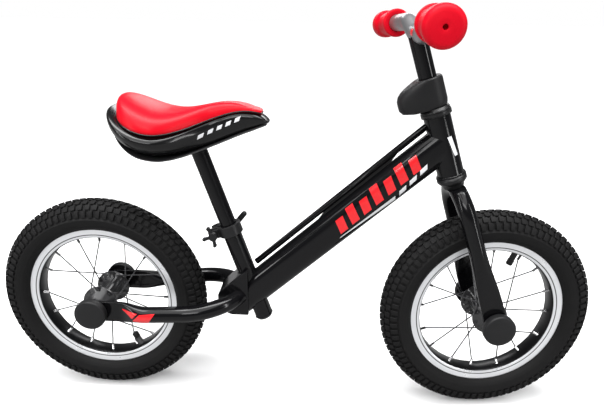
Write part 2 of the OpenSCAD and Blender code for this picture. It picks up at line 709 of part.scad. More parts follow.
// Saddle along its length: t runs from the tail at 0 to the nose at 1
function tail_round(t, run) = sqrt(max(0, 1 - pow(1 - min(1, t / run), 2)));
function nose_round(t) = sqrt(max(0, 1 - pow(max(0, (t - 0.88) / 0.12), 2)));

// A smooth curve through the pull of its control heights
function curve(h, t) = let (n = len(h) - 1, weight = [1, 5, 10, 10, 5, 1])
    [for (i = [0 : n]) weight[i] * pow(t, i) * pow(1 - t, n - i)] * h;
function plan_w(t) = mix(saddle_w / 2, saddle_nose_w / 2, smooth((t - 0.294) / 0.372));
function half_w(t) = plan_w(t) * (0.3 + 0.7 * tail_round(t, 0.24)) * (0.4 + 0.6 * nose_round(t));
function side_h(t) = (curve(seam_h, t) - curve(low_h, t)) / 2 *
    (0.45 + 0.55 * tail_round(t, 0.24)) * (0.5 + 0.5 * nose_round(t));
function side_mid(t) = (curve(seam_h, t) + curve(low_h, t)) / 2;
function side_low(t) = side_mid(t) - side_h(t);
function side_top(t) = side_mid(t) + side_h(t);

// One closed cross section of the saddle between two heights, as a ring of points
function saddle_ring(t, z0, z1, w0, w1) = [for (i = [0 : SIDES - 1])
    let (c = bulge(cos(360 * i / SIDES), 0.62), s = bulge(sin(360 * i / SIDES), 0.62))
    [saddle_tail_x + t * saddle_l, c * mix(w0, w1, (s + 1) / 2), (z0 + z1) / 2 + s * (z1 - z0) / 2]];

// The pad's section stands on the seam and narrows towards its top
function pad_ring(u) = let (t = mix(pad_from, pad_to, u), tail = tail_round(u, 0.232), nose = nose_round(u),
        w = plan_w(t) * 0.93 * (0.35 + 0.65 * tail) * (0.4 + 0.6 * nose), foot = curve(seam_h, t) + 0.8,
        crown = max(3, (curve(top_h, t) - foot) * mix(0.65, 1, tail) * mix(0.13, 1, nose)))
    saddle_ring(t, foot, foot + crown, w, w * 0.8);

module post_socket() at_seat_tube() cylinder(r = post_d / 2, h = post_bottom + post_l);

module saddle_body() color([0.1, 0.1, 0.1]) difference() {
    loft([for (t = saddle_steps) saddle_ring(t, side_low(t) + 3, side_top(t), half_w(t) * 0.84, half_w(t))]);
    post_socket();
}

module saddle_pad() color([0.85, 0.08, 0.16]) loft([for (u = saddle_steps) pad_ring(u)]);

// Moulded base plate under the padding; the post passes through it
module saddle_base() color([0.1, 0.1, 0.1]) difference() {
    loft([for (t = saddle_steps)
        saddle_ring(t, side_low(t), side_low(t) + 2.8, half_w(t) * 0.78, half_w(t) * 0.8)]);
    post_socket();
}

// ---------- pieces placed on the bicycle ----------

module rear_axle() at_rear_wheel() wheel_axle();
module rear_locknuts() at_rear_wheel() locknuts();
module rear_washers() at_rear_wheel() washers();
module rear_axle_nuts() at_rear_wheel() axle_nuts();
module rear_axle_caps() at_rear_wheel() axle_caps();
module rear_hub() at_rear_wheel() hub();
module rear_hub_bearings() at_rear_wheel() hub_bearings();
module rear_spokes() at_rear_wheel() spokes();
module rear_nipples() at_rear_wheel() nipples();
module rear_rim() at_rear_wheel() rim(valve_angle_rear);
module rear_inner_tube() at_rear_wheel() inner_tube(valve_angle_rear);
module rear_tyre() at_rear_wheel() tyre();
module rear_valve_cap() at_rear_wheel() valve_cap(valve_angle_rear);

module front_axle() at_fork() wheel_axle();
module front_locknuts() at_fork() locknuts();
module front_washers() at_fork() washers();
module front_axle_nuts() at_fork() axle_nuts();
module front_axle_caps() at_fork() axle_caps();
module front_hub() at_fork() hub();
module front_hub_bearings() at_fork() hub_bearings();
module front_spokes() at_fork() spokes();
module front_nipples() at_fork() nipples();
module front_rim() at_fork() rim(valve_angle_front);
module front_inner_tube() at_fork() inner_tube(valve_angle_front);
module front_tyre() at_fork() tyre();
module front_valve_cap() at_fork() valve_cap(valve_angle_front);

// ---------- drawing ----------

main_tube();
top_tube();
web_plate();
head_tube();
seat_tube();
yoke();
left_chainstay();
right_chainstay();
seat_tube_plug();
lower_headset_cup();
upper_headset_cup();
lower_headset_bearing();
upper_headset_bearing();
seat_collar();
collar_skewer();
collar_wing_nut();
collar_lever();
seat_post();
saddle_base();
saddle_body();
saddle_pad();
rear_axle();
rear_locknuts();
rear_washers();
rear_axle_nuts();
rear_axle_caps();
rear_hub();
rear_hub_bearings();
rear_spokes();
rear_nipples();
rear_rim();
rear_inner_tube();
rear_tyre();
rear_valve_cap();
steerer();
left_fork_blade();
right_fork_blade();
crown_race();
headset_locknut();
stem_clamp();
stem_clamp_bolt();
stem_clamp_cover();
stem();
handlebar();
left_grip();
right_grip();
front_axle();
front_locknuts();
front_washers();
front_axle_nuts();
front_axle_caps();
front_hub();
front_hub_bearings();
front_spokes();
front_nipples();
front_rim();
front_inner_tube();
front_tyre();
front_valve_cap();
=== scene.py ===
"""Finish for a child's balance bike.

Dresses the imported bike: knobbly tyres, padded saddle, soft grips, painted tubes, rims, caps,
decals, and a plain studio. Lengths inside the functions are in millimetres unless they say metres.
"""

import json
import math

import bmesh
import bpy
from bpy.props import FloatProperty, FloatVectorProperty, IntProperty, PointerProperty
from mathutils import Matrix, Vector

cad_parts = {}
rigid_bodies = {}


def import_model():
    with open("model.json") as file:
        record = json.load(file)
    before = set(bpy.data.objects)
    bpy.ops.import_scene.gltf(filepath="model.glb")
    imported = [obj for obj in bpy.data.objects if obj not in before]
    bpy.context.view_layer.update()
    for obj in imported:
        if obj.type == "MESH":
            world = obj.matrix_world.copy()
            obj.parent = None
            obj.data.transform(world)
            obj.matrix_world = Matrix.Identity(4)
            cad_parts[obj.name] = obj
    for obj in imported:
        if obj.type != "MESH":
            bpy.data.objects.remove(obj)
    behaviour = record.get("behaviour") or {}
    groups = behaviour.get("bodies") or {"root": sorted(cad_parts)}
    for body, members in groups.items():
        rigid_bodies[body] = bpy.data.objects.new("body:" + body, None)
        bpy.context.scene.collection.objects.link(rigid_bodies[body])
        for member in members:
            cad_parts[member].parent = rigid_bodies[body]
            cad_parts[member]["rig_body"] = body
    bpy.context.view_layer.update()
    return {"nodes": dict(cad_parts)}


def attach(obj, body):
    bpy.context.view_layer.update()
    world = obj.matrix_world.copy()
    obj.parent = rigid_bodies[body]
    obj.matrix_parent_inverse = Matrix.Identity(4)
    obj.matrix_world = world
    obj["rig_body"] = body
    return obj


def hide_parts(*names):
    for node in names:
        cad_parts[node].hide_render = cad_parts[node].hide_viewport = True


bl_info = {
    "name": "Balance Bike Finish",
    "version": (1, 0, 0),
    "blender": (4, 5, 0),
    "location": "View3D > Sidebar > Balance Bike",
    "description": "Tyres, saddle, grips, paint, decals and studio for a packed balance bike",
    "category": "Object",
}

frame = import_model()

MM = 0.001
AXLE_HEIGHT = 148.5
HALF_WHEELBASE = 273.0
HEAD_LEAN = math.radians(71.2 - 90)


def place(origin, lean=0.0, turn=0.0):
    """Where a sub-assembly stands: moved to origin, leant back, then turned about its own axis."""
    return (
        Matrix.Translation(Vector(origin))
        @ Matrix.Rotation(lean, 4, "Y")
        @ Matrix.Rotation(turn, 4, "Z")
    )


FRONT = (HALF_WHEELBASE, 0, AXLE_HEIGHT)
WHEELS = {
    "rear": place((-HALF_WHEELBASE, 0, AXLE_HEIGHT)),
    "front": place(FRONT, HEAD_LEAN, math.radians(6)),
}
HEAD = place(FRONT, HEAD_LEAN)
FORK = WHEELS["front"]
BAR = place(FRONT, HEAD_LEAN, math.radians(2.5)) @ Matrix.Translation((3, 0, 390))
ALONG_AXLE = Matrix.Rotation(math.radians(-90), 4, "X")
SIDES = {"left": Matrix.Identity(4), "right": Matrix.Scale(-1, 4, (0, 1, 0))}
TUBE_R = 11.0
HEAD_TUBE_R = 17.0


# ---------- sizes and colours ----------


def colour_setting(name, description, default):
    return FloatVectorProperty(
        name=name, description=description, subtype="COLOR", size=3, default=default
    )


class TyreSettings(bpy.types.PropertyGroup):
    blocks: IntProperty(
        name="Blocks", description="Tread blocks in each row", default=84, min=40, max=100
    )
    depth: FloatProperty(
        name="Tread depth", description="Height of the tread blocks", default=0.0026,
        unit="LENGTH", min=0.001, max=0.004,
    )
    colour: colour_setting("Rubber", "Colour of the tyre", (0.0042, 0.0042, 0.0046))


class SeatSettings(bpy.types.PropertyGroup):
    top_colour: colour_setting("Top", "Colour of the saddle's top panel", (0.62, 0.002, 0.012))
    side_colour: colour_setting("Sides", "Colour of the saddle's sides", (0.004, 0.004, 0.0042))
    grip_colour: colour_setting("Grips", "Colour of the grips", (0.62, 0.002, 0.014))
    puff: FloatProperty(
        name="Puff", description="How far the padding swells beyond its base shape",
        default=0.0015, unit="LENGTH", max=0.004,
    )


class PaintSettings(bpy.types.PropertyGroup):
    frame_colour: colour_setting("Frame", "Colour of the frame's paint", (0.0022, 0.0022, 0.0026))
    bar_colour: colour_setting("Bar", "Colour of the handlebar", (0.2, 0.2, 0.205))
    decal_red: colour_setting("Red decals", "Colour of the red decals", (0.78, 0.01, 0.015))
    decal_white: colour_setting("White decals", "Colour of the white decals", (0.85, 0.86, 0.88))


class BikeSettings(bpy.types.PropertyGroup):
    tyre: PointerProperty(type=TyreSettings)
    seat: PointerProperty(type=SeatSettings)
    paint: PointerProperty(type=PaintSettings)
    floor_colour: colour_setting("Floor", "Colour of the studio floor", (0.93, 0.93, 0.93))


# ---------- shader helpers ----------


# Places of the colour sockets on a Mix node, whose names repeat for each kind of value.
MIX_A, MIX_B, MIX_RESULT = 6, 7, 2


def nodes_of(tree, kind, **values):
    """Adds a node and sets its properties and input defaults by name."""
    node = tree.nodes.new(kind)
    for key, value in values.items():
        if key.startswith("in_"):
            node.inputs[key[3:].replace("_", " ")].default_value = value
        else:
            setattr(node, key, value)
    return node


def mottle_group():
    """Shade and gloss that vary over a surface, with a fine surface relief."""
    name = "Surface Mottle"
    if name in bpy.data.node_groups:
        return bpy.data.node_groups[name]
    group = bpy.data.node_groups.new(name, "ShaderNodeTree")
    face = group.interface
    for label, kind, default in (
        ("Vector", "NodeSocketVector", None),
        ("Color", "NodeSocketColor", (0.5, 0.5, 0.5, 1)),
        ("Tint", "NodeSocketColor", (0.6, 0.6, 0.6, 1)),
        ("Tint Amount", "NodeSocketFloat", 0.2),
        ("Patch Scale", "NodeSocketFloat", 30.0),
        ("Roughness", "NodeSocketFloat", 0.4),
        ("Roughness Spread", "NodeSocketFloat", 0.1),
        ("Grain Scale", "NodeSocketFloat", 900.0),
    ):
        socket = face.new_socket(label, in_out="INPUT", socket_type=kind)
        if default is not None:
            socket.default_value = default
    face.new_socket("Color", in_out="OUTPUT", socket_type="NodeSocketColor")
    face.new_socket("Roughness", in_out="OUTPUT", socket_type="NodeSocketFloat")
    face.new_socket("Height", in_out="OUTPUT", socket_type="NodeSocketFloat")
    link = group.links.new
    source = group.nodes.new("NodeGroupInput")
    sink = group.nodes.new("NodeGroupOutput")
    patches = nodes_of(group, "ShaderNodeTexNoise", in_Detail=4.0, in_Roughness=0.55)
    grain = nodes_of(group, "ShaderNodeTexNoise", in_Detail=2.0)
    amount = nodes_of(group, "ShaderNodeMath", operation="MULTIPLY", use_clamp=True)
    mix = nodes_of(group, "ShaderNodeMix", data_type="RGBA")
    centred = nodes_of(group, "ShaderNodeMath", operation="SUBTRACT")
    centred.inputs[1].default_value = 0.5
    spread = nodes_of(group, "ShaderNodeMath", operation="MULTIPLY")
    gloss = nodes_of(group, "ShaderNodeMath", operation="ADD", use_clamp=True)
    link(source.outputs["Vector"], patches.inputs["Vector"])
    link(source.outputs["Vector"], grain.inputs["Vector"])
    link(source.outputs["Patch Scale"], patches.inputs["Scale"])
    link(source.outputs["Grain Scale"], grain.inputs["Scale"])
    link(patches.outputs["Fac"], amount.inputs[0])
    link(source.outputs["Tint Amount"], amount.inputs[1])
    link(amount.outputs[0], mix.inputs["Factor"])
    link(source.outputs["Color"], mix.inputs[MIX_A])
    link(source.outputs["Tint"], mix.inputs[MIX_B])
    link(patches.outputs["Fac"], centred.inputs[0])
    link(centred.outputs[0], spread.inputs[0])
    link(source.outputs["Roughness Spread"], spread.inputs[1])
    link(spread.outputs[0], gloss.inputs[0])
    link(source.outputs["Roughness"], gloss.inputs[1])
    link(mix.outputs[MIX_RESULT], sink.inputs["Color"])
    link(gloss.outputs[0], sink.inputs["Roughness"])
    link(grain.outputs["Fac"], sink.inputs["Height"])
    return group


def ring_group():
    """A mask that is 1 on a band at a given distance from the wheel's axle line (its local Y)."""
    name = "Wheel Ring"
    if name in bpy.data.node_groups:
        return bpy.data.node_groups[name]
    group = bpy.data.node_groups.new(name, "ShaderNodeTree")
    face = group.interface
    face.new_socket("Vector", in_out="INPUT", socket_type="NodeSocketVector")
    for label, default in (("Radius", 0.1), ("Half Width", 0.001), ("Softness", 0.0004)):
        face.new_socket(label, in_out="INPUT", socket_type="NodeSocketFloat").default_value = default
    face.new_socket("Mask", in_out="OUTPUT", socket_type="NodeSocketFloat")
    link = group.links.new
    source = group.nodes.new("NodeGroupInput")
    sink = group.nodes.new("NodeGroupOutput")
    flat = nodes_of(group, "ShaderNodeVectorMath", operation="MULTIPLY")
    flat.inputs[1].default_value = (1, 0, 1)
    length = nodes_of(group, "ShaderNodeVectorMath", operation="LENGTH")
    offset = nodes_of(group, "ShaderNodeMath", operation="SUBTRACT")
    away = nodes_of(group, "ShaderNodeMath", operation="ABSOLUTE")
    beyond = nodes_of(group, "ShaderNodeMath", operation="SUBTRACT")
    ramp = nodes_of(group, "ShaderNodeMath", operation="DIVIDE", use_clamp=True)
    invert = nodes_of(group, "ShaderNodeMath", operation="SUBTRACT")
    invert.inputs[0].default_value = 1.0
    link(source.outputs["Vector"], flat.inputs[0])
    link(flat.outputs[0], length.inputs[0])
    link(length.outputs["Value"], offset.inputs[0])
    link(source.outputs["Radius"], offset.inputs[1])
    link(offset.outputs[0], away.inputs[0])
    link(away.outputs[0], beyond.inputs[0])
    link(source.outputs["Half Width"], beyond.inputs[1])
    link(beyond.outputs[0], ramp.inputs[0])
    link(source.outputs["Softness"], ramp.inputs[1])
    link(ramp.outputs[0], invert.inputs[1])
    link(invert.outputs[0], sink.inputs["Mask"])
    return group


def finish_material(
    name, colour, tint=None, tint_amount=0.25, patch=30.0, roughness=0.4, spread=0.1, grain=900.0,
    relief=0.1, metallic=0.0, coat=0.0, coat_rough=0.05, specular=0.5, centre=None,
):
    """A Principled material whose colour, gloss and relief come from the mottle group.

    centre is the place of the piece that its patterns are measured from.
    """
    if name in bpy.data.materials:
        return bpy.data.materials[name]
    material = bpy.data.materials.new(name)
    material.use_nodes = True
    tree = material.node_tree
    shader = tree.nodes["Principled BSDF"]
    coords = nodes_of(tree, "ShaderNodeTexCoord")
    mapping = nodes_of(tree, "ShaderNodeMapping")
    if centre is not None:
        inverse = centre.inverted()
        mapping.inputs["Location"].default_value = inverse.to_translation() * MM
        mapping.inputs["Rotation"].default_value = inverse.to_euler()
    mottle = nodes_of(tree, "ShaderNodeGroup", node_tree=mottle_group())
    mottle.inputs["Color"].default_value = (*colour, 1)
    lighter = [min(1, c * 1.6 + 0.01) for c in colour]
    mottle.inputs["Tint"].default_value = (*(tint or lighter), 1)
    for label, value in (
        ("Tint Amount", tint_amount), ("Patch Scale", patch), ("Roughness", roughness),
        ("Roughness Spread", spread), ("Grain Scale", grain),
    ):
        mottle.inputs[label].default_value = value
    bump = nodes_of(tree, "ShaderNodeBump", in_Strength=relief, in_Distance=0.0004)
    link = tree.links.new
    link(coords.outputs["Object"], mapping.inputs["Vector"])
    link(mapping.outputs["Vector"], mottle.inputs["Vector"])
    link(mottle.outputs["Color"], shader.inputs["Base Color"])
    link(mottle.outputs["Roughness"], shader.inputs["Roughness"])
    link(mottle.outputs["Height"], bump.inputs["Height"])
    link(bump.outputs["Normal"], shader.inputs["Normal"])
    shader.inputs["Metallic"].default_value = metallic
    shader.inputs["Coat Weight"].default_value = coat
    shader.inputs["Coat Roughness"].default_value = coat_rough
    shader.inputs["Specular IOR Level"].default_value = specular
    return material


def add_ring(material, radius, half_width, colour):
    """Draws a band of colour round the wheel at a radius, in metres."""
    tree = material.node_tree
    shader = tree.nodes["Principled BSDF"]
    mapping = next(n for n in tree.nodes if n.type == "MAPPING")
    ring = nodes_of(tree, "ShaderNodeGroup", node_tree=ring_group())
    ring.inputs["Radius"].default_value = radius
    ring.inputs["Half Width"].default_value = half_width
    mix = nodes_of(tree, "ShaderNodeMix", data_type="RGBA")
    mix.inputs[MIX_B].default_value = (*colour, 1)
    before = shader.inputs["Base Color"].links[0].from_socket
    tree.links.new(mapping.outputs["Vector"], ring.inputs["Vector"])
    tree.links.new(ring.outputs["Mask"], mix.inputs["Factor"])
    tree.links.new(before, mix.inputs[MIX_A])
    tree.links.new(mix.outputs[MIX_RESULT], shader.inputs["Base Color"])


def settings():
    return bpy.context.scene.balance_bike


def gloss_black():
    return finish_material(
        "Gloss Black Paint", settings().paint.frame_colour, tint=(0.006, 0.006, 0.007),
        tint_amount=0.35, patch=18, roughness=0.16, spread=0.08, grain=420, relief=0.02,
        coat=0.2, coat_rough=0.04, specular=0.16,
    )


def satin_black():
    return finish_material(
        "Satin Black Hardware", (0.006, 0.006, 0.0065), tint_amount=0.5, patch=60,
        roughness=0.36, spread=0.14, grain=1400, relief=0.08, specular=0.3,
    )


def moulded_plastic():
    return finish_material(
        "Moulded Black Plastic", (0.01, 0.01, 0.0105), tint=(0.02, 0.02, 0.021),
        tint_amount=0.4, patch=45, roughness=0.44, spread=0.12, grain=1800, relief=0.22,
        specular=0.2,
    )


def steel():
    return finish_material(
        "Zinc Plated Steel", (0.42, 0.42, 0.43), tint=(0.24, 0.25, 0.27), tint_amount=0.6,
        patch=140, roughness=0.33, spread=0.2, grain=2200, relief=0.1, metallic=1.0,
    )


def tyre_rubber(end):
    return finish_material(
        end.title() + " Tyre Rubber", settings().tyre.colour, tint=(0.012, 0.0115, 0.011),
        tint_amount=0.5, patch=55, roughness=0.62, spread=0.18, grain=700, relief=0.25,
        centre=WHEELS[end], specular=0.16,
    )


def rim_alloy(end):
    """Bright alloy with painted shade in a thin dark line at the groove near the edge, and a blackened
    inner face.
    """
    rim = finish_material(
        end.title() + " Rim Alloy", (0.86, 0.87, 0.89), tint=(0.62, 0.63, 0.65), tint_amount=0.45,
        patch=26, roughness=0.3, spread=0.16, grain=1500, relief=0.05, metallic=0.55,
        centre=WHEELS[end],
    )
    # Painted shade: a near-black line where the groove's shade falls on the bright sidewall.
    add_ring(rim, 0.0992, 0.00045, (0.02, 0.02, 0.02))
    add_ring(rim, 0.0915, 0.0036, (0.008, 0.008, 0.009))
    return rim


def hub_black():
    return finish_material(
        "Hub Black", (0.014, 0.014, 0.015), tint_amount=0.5, patch=70, roughness=0.3, spread=0.15,
        grain=1200, relief=0.06, coat=0.2,
    )


def spoke_black():
    return finish_material(
        "Spoke Black", (0.03, 0.03, 0.032), tint=(0.1, 0.1, 0.105), tint_amount=0.5, patch=90,
        roughness=0.3, spread=0.15, grain=2500, relief=0.04, metallic=0.4,
    )


def nipple_plating():
    return finish_material(
        "Nipple Plating", (0.7, 0.7, 0.71), tint=(0.5, 0.5, 0.5), tint_amount=0.4, patch=300,
        roughness=0.2, spread=0.15, grain=3000, relief=0.04, metallic=1.0,
    )


def tube_rubber():
    return finish_material(
        "Inner Tube Rubber", (0.02, 0.02, 0.021), tint_amount=0.5, patch=60, roughness=0.55,
        spread=0.15, grain=900, relief=0.1,
    )


def saddle_black():
    return finish_material(
        "Saddle Black Vinyl", settings().seat.side_colour, tint=(0.01, 0.01, 0.0105),
        tint_amount=0.4, patch=40, roughness=0.2, spread=0.1, grain=1500, relief=0.12,
        coat=0.3, coat_rough=0.06, specular=0.16,
    )


def saddle_red():
    return finish_material(
        "Saddle Red Vinyl", settings().seat.top_colour, tint=(0.5, 0.001, 0.008),
        tint_amount=0.35, patch=35, roughness=0.36, spread=0.1, grain=1500, relief=0.16,
        specular=0.16,
    )


def saddle_plastic():
    return finish_material(
        "Saddle Base Plastic", (0.016, 0.016, 0.017), tint_amount=0.5, patch=50, roughness=0.4,
        spread=0.12, grain=1500, relief=0.12,
    )


def bar_silver():
    return finish_material(
        "Bar Silver Paint", settings().paint.bar_colour, tint=(0.3, 0.3, 0.31), tint_amount=0.5,
        patch=30, roughness=0.32, spread=0.14, grain=1600, relief=0.06, metallic=0.6, coat=0.1,
    )


def grip_rubber():
    return finish_material(
        "Grip Red Rubber", settings().seat.grip_colour, tint=(0.5, 0.001, 0.008),
        tint_amount=0.35, patch=60, roughness=0.46, spread=0.12, grain=1300, relief=0.14,
        specular=0.1,
    )


def decal_red():
    return finish_material(
        "Red Decal", settings().paint.decal_red, tint=(0.5, 0.004, 0.008), tint_amount=0.3,
        patch=60, roughness=0.24, spread=0.1, grain=900, relief=0.03, coat=0.4,
    )


def decal_white():
    return finish_material(
        "White Decal", settings().paint.decal_white, tint=(0.7, 0.7, 0.72), tint_amount=0.3,
        patch=60, roughness=0.26, spread=0.1, grain=900, relief=0.03, coat=0.4,
    )


# ---------- mesh helpers ----------


def make_piece(name, bm, body, material, at=Matrix.Identity(4), sharp=32, weld=0.002):
    """Turns a bmesh in millimetres into a finished piece in metres that rides on a body."""
    bmesh.ops.remove_doubles(bm, verts=bm.verts, dist=weld)
    bmesh.ops.transform(bm, matrix=Matrix.Scale(MM, 4) @ at, verts=bm.verts)
    bmesh.ops.recalc_face_normals(bm, faces=bm.faces)
    mesh = bpy.data.meshes.new(name)
    bm.to_mesh(mesh)
    bm.free()
    mesh.shade_smooth()
    mesh.set_sharp_from_angle(angle=math.radians(sharp))
    mesh.materials.append(material)
    piece = bpy.data.objects.new(name, mesh)
    bpy.context.scene.collection.objects.link(piece)
    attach(piece, body)
    return piece


def lathe(profile, steps=96, closed=False):
    """Spins (radius, height) points about Z."""
    bm = bmesh.new()
    verts = [bm.verts.new((radius, 0, height)) for radius, height in profile]
    edges = [bm.edges.new(pair) for pair in zip(verts, verts[1:])]
    if closed:
        edges.append(bm.edges.new((verts[-1], verts[0])))
    bmesh.ops.spin(
        bm, geom=verts + edges, cent=(0, 0, 0), axis=(0, 0, 1), dvec=(0, 0, 0), angle=math.tau,
        steps=steps, use_merge=True, use_duplicate=False,
    )
    bmesh.ops.remove_doubles(bm, verts=bm.verts, dist=0.0005)
    return bm


def arc(centre_r, centre_h, radius, start, end, count):
    """Points on an arc of a profile, angles in degrees from the outward direction."""
    return [
        (centre_r + radius * math.cos(math.radians(a)), centre_h + radius * math.sin(math.radians(a)))
        for a in (start + (end - start) * i / (count - 1) for i in range(count))
    ]


def shaped_grid(columns, rows, shape):
    """A grid whose vertices are moved to shape(i, j); the first and last columns meet."""
    bm = bmesh.new()
    bmesh.ops.create_grid(bm, x_segments=columns, y_segments=rows, size=1.0)
    for v in bm.verts:
        i = round((v.co.x + 1) / 2 * columns)
        j = round((v.co.y + 1) / 2 * rows)
        v.co = shape(i % columns, j)
    bmesh.ops.remove_doubles(bm, verts=bm.verts, dist=0.0005)
    return bm


def close_ends(bm):
    """Fills every open end."""
    rims = [e for e in bm.edges if e.is_boundary]
    bmesh.ops.holes_fill(bm, edges=rims, sides=0)
    return bm


def smooth_step(t):
    t = max(0.0, min(1.0, t))
    return t * t * (3 - 2 * t)


def mix(a, b, t):
    return a * (1 - t) + b * t


def bulge(x, power):
    """Squares up a sine or cosine: the lower the power, the boxier the section."""
    return math.copysign(abs(x) ** power, x)


def swept(path, sizes, across, sides):
    """A closed tube along a path; sizes gives (half width, half height, roundness) at each point."""
    points = [Vector(p) for p in path]
    across = Vector(across)

    def shape(i, j):
        heading = (points[min(j + 1, len(points) - 1)] - points[max(j - 1, 0)]).normalized()
        side = across.cross(heading).normalized()
        up = heading.cross(side)
        half_w, half_h, power = sizes[j]
        turn = math.tau * i / sides
        sideways = side * half_w * bulge(math.cos(turn), power)
        return points[j] + sideways + up * half_h * bulge(math.sin(turn), power)

    return close_ends(shaped_grid(sides, len(points) - 1, shape))


def node_copy(node):
    """A merged copy of a CAD node's mesh, in millimetres, ready to be smoothed or rounded."""
    bm = bmesh.new()
    bm.from_mesh(frame["nodes"][node].data)
    bmesh.ops.scale(bm, vec=(1 / MM,) * 3, verts=bm.verts)
    bmesh.ops.remove_doubles(bm, verts=bm.verts, dist=0.003)
    return bm


def refine(node, material, sharp=32):
    """Replaces a node by a smooth-shaded copy of the same shape."""
    body = frame["nodes"][node]["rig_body"]
    piece = make_piece(node + "_finish", node_copy(node), body, material, sharp=sharp, weld=0.001)
    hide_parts(node)
    return piece


def soften(node, material, voxel, passes):
    """Replaces a node by a copy with moulded, rounded edges."""
    piece = refine(node, material, sharp=60)
    remesh = piece.modifiers.new("Remesh", "REMESH")
    remesh.mode = "VOXEL"
    remesh.voxel_size = voxel * MM
    relax = piece.modifiers.new("Smooth", "SMOOTH")
    relax.iterations = passes
    relax.factor = 0.5
    depsgraph = bpy.context.evaluated_depsgraph_get()
    mesh = bpy.data.meshes.new_from_object(piece.evaluated_get(depsgraph))
    piece.modifiers.clear()
    piece.data = mesh
    mesh.shade_smooth()


# ---------- wheels ----------

SECTION_CENTRE = 125.0
CASING_R = 20.7
BLOCK_ROOT = 1.2


def tread_block(arc_from, arc_to, width, depth, corner):
    """One block of the tread, bent over the casing between two angles of the tyre's section."""
    bm = bmesh.new()
    length = math.radians(arc_to - arc_from) * CASING_R
    tall = depth + BLOCK_ROOT
    bmesh.ops.create_cube(bm, size=1.0)
    bmesh.ops.scale(bm, vec=(tall, width, length), verts=bm.verts)
    upright = [e for e in bm.edges if abs((e.verts[0].co - e.verts[1].co).x) > 0.1]
    bmesh.ops.bevel(
        bm, geom=upright, offset=corner, affect="EDGES", segments=2, profile=0.5, material=-1
    )
    top = [e for e in bm.edges if all(v.co.x > 0.2 for v in e.verts)]
    bmesh.ops.bevel(bm, geom=top, offset=0.45, affect="EDGES", segments=1, profile=0.5, material=-1)
    for cut in (-1, 0, 1):
        bmesh.ops.bisect_plane(
            bm, geom=bm.verts[:] + bm.edges[:] + bm.faces[:],
            plane_co=(0, 0, cut * length / 4), plane_no=(0, 0, 1),
        )
    base = [f for f in bm.faces if f.calc_center_median().x < -tall / 2 + 0.01]
    bmesh.ops.delete(bm, geom=base, context="FACES_ONLY")
    middle = math.radians((arc_from + arc_to) / 2)
    for v in bm.verts:
        angle = middle + v.co.z / CASING_R
        out = CASING_R - BLOCK_ROOT + v.co.x + tall / 2
        radius = SECTION_CENTRE + out * math.cos(angle)
        turn = v.co.y / (SECTION_CENTRE + CASING_R)
        v.co = Vector((radius * math.cos(turn), radius * math.sin(turn), out * math.sin(angle)))
    return bm


def casing_profile():
    """The tyre's section without its blocks: crown, ribbed sidewalls, and the inside."""
    outside = []
    bead, steps = 142, 72
    for i in range(steps + 1):
        angle = -bead + 2 * bead * i / steps
        side = abs(angle)
        out = CASING_R + 2.0 * smooth_step((side - 78) / 18)
        for rib, tall in ((90, 0.6), (114, 0.45), (124, 0.45)):
            out += tall * math.exp(-(((side - rib) / 2.2) ** 2))
        turn = math.radians(angle)
        outside.append((SECTION_CENTRE + out * math.cos(turn), out * math.sin(turn)))
    inside = arc(SECTION_CENTRE, 0, 18.6, 140, -140, 40)
    return outside + inside


def build_tyre(end):
    """The casing, with seven staggered rows of blocks round it."""
    chosen = settings().tyre
    depth = chosen.depth / MM
    bm = lathe(casing_profile(), steps=144, closed=True)
    pitch = math.tau / chosen.blocks
    width = pitch * (SECTION_CENTRE + CASING_R)
    rows = []
    for near, far, share, corner, stagger in (
        (57, 82, 0.6, 0.7, 0.0), (34, 54, 0.66, 1.0, 0.5), (12, 31, 0.68, 1.8, 0.0),
    ):
        rows += [(near, far, share, corner, stagger), (-far, -near, share, corner, stagger)]
    rows.append((-9, 9, 0.62, 1.8, 0.5))
    for arc_from, arc_to, share, corner, stagger in rows:
        block = tread_block(arc_from, arc_to, width * share, depth, corner)
        pattern = bpy.data.meshes.new("tread block")
        block.to_mesh(pattern)
        block.free()
        for i in range(chosen.blocks):
            first = len(bm.verts)
            bm.from_mesh(pattern)
            bm.verts.ensure_lookup_table()
            turn = Matrix.Rotation(pitch * (i + stagger), 4, "Z")
            bmesh.ops.transform(bm, matrix=turn, verts=bm.verts[first:])
        bpy.data.meshes.remove(pattern)
    at = WHEELS[end] @ ALONG_AXLE
    piece = make_piece(
        end + "_tyre_tread", bm, end + "_wheel", tyre_rubber(end), at, sharp=38, weld=0.0002
    )
    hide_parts(end + "_tyre")


def cap_profile():
    """Section of a domed axle cap: rim, rolled shoulder, face, and the hollow behind it."""
    profile = [(19.6, 52.4), (21.0, 52.2), (21.5, 52.8), (21.6, 57.0)]
    profile += arc(18.4, 59.9, 3.2, 0, 62, 8)
    profile += [(19.2, 62.9), (18.6, 62.95), (17.9, 63.25), (16, 63.6), (11, 63.88), (5, 63.98), (0, 64.0)]
    profile += [(0, 62.2), (16, 61.8), (19.4, 58.5)]
    return profile


def finish_wheel(end):
    """Rim, hub, spokes, nipples, caps and the small hardware of one wheel."""
    refine(end + "_rim", rim_alloy(end))
    refine(end + "_hub", hub_black())
    refine(end + "_spokes", spoke_black())
    refine(end + "_nipples", nipple_plating())
    body = "frame" if end == "rear" else "fork"
    for side, flip in SIDES.items():
        cap = make_piece(
            f"{end}_{side}_axle_cap", lathe(cap_profile(), steps=80, closed=True), body,
            moulded_plastic(), WHEELS[end] @ flip @ ALONG_AXLE, sharp=45,
        )
        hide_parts(end + "_axle_caps")
    for node, material in (
        ("axle", steel()), ("washers", steel()), ("axle_nuts", steel()), ("hub_bearings", steel()),
        ("locknuts", satin_black()), ("valve_cap", moulded_plastic()),
    ):
        refine(f"{end}_{node}", material)
    refine(end + "_inner_tube", tube_rubber())


# ---------- frame and fork ----------

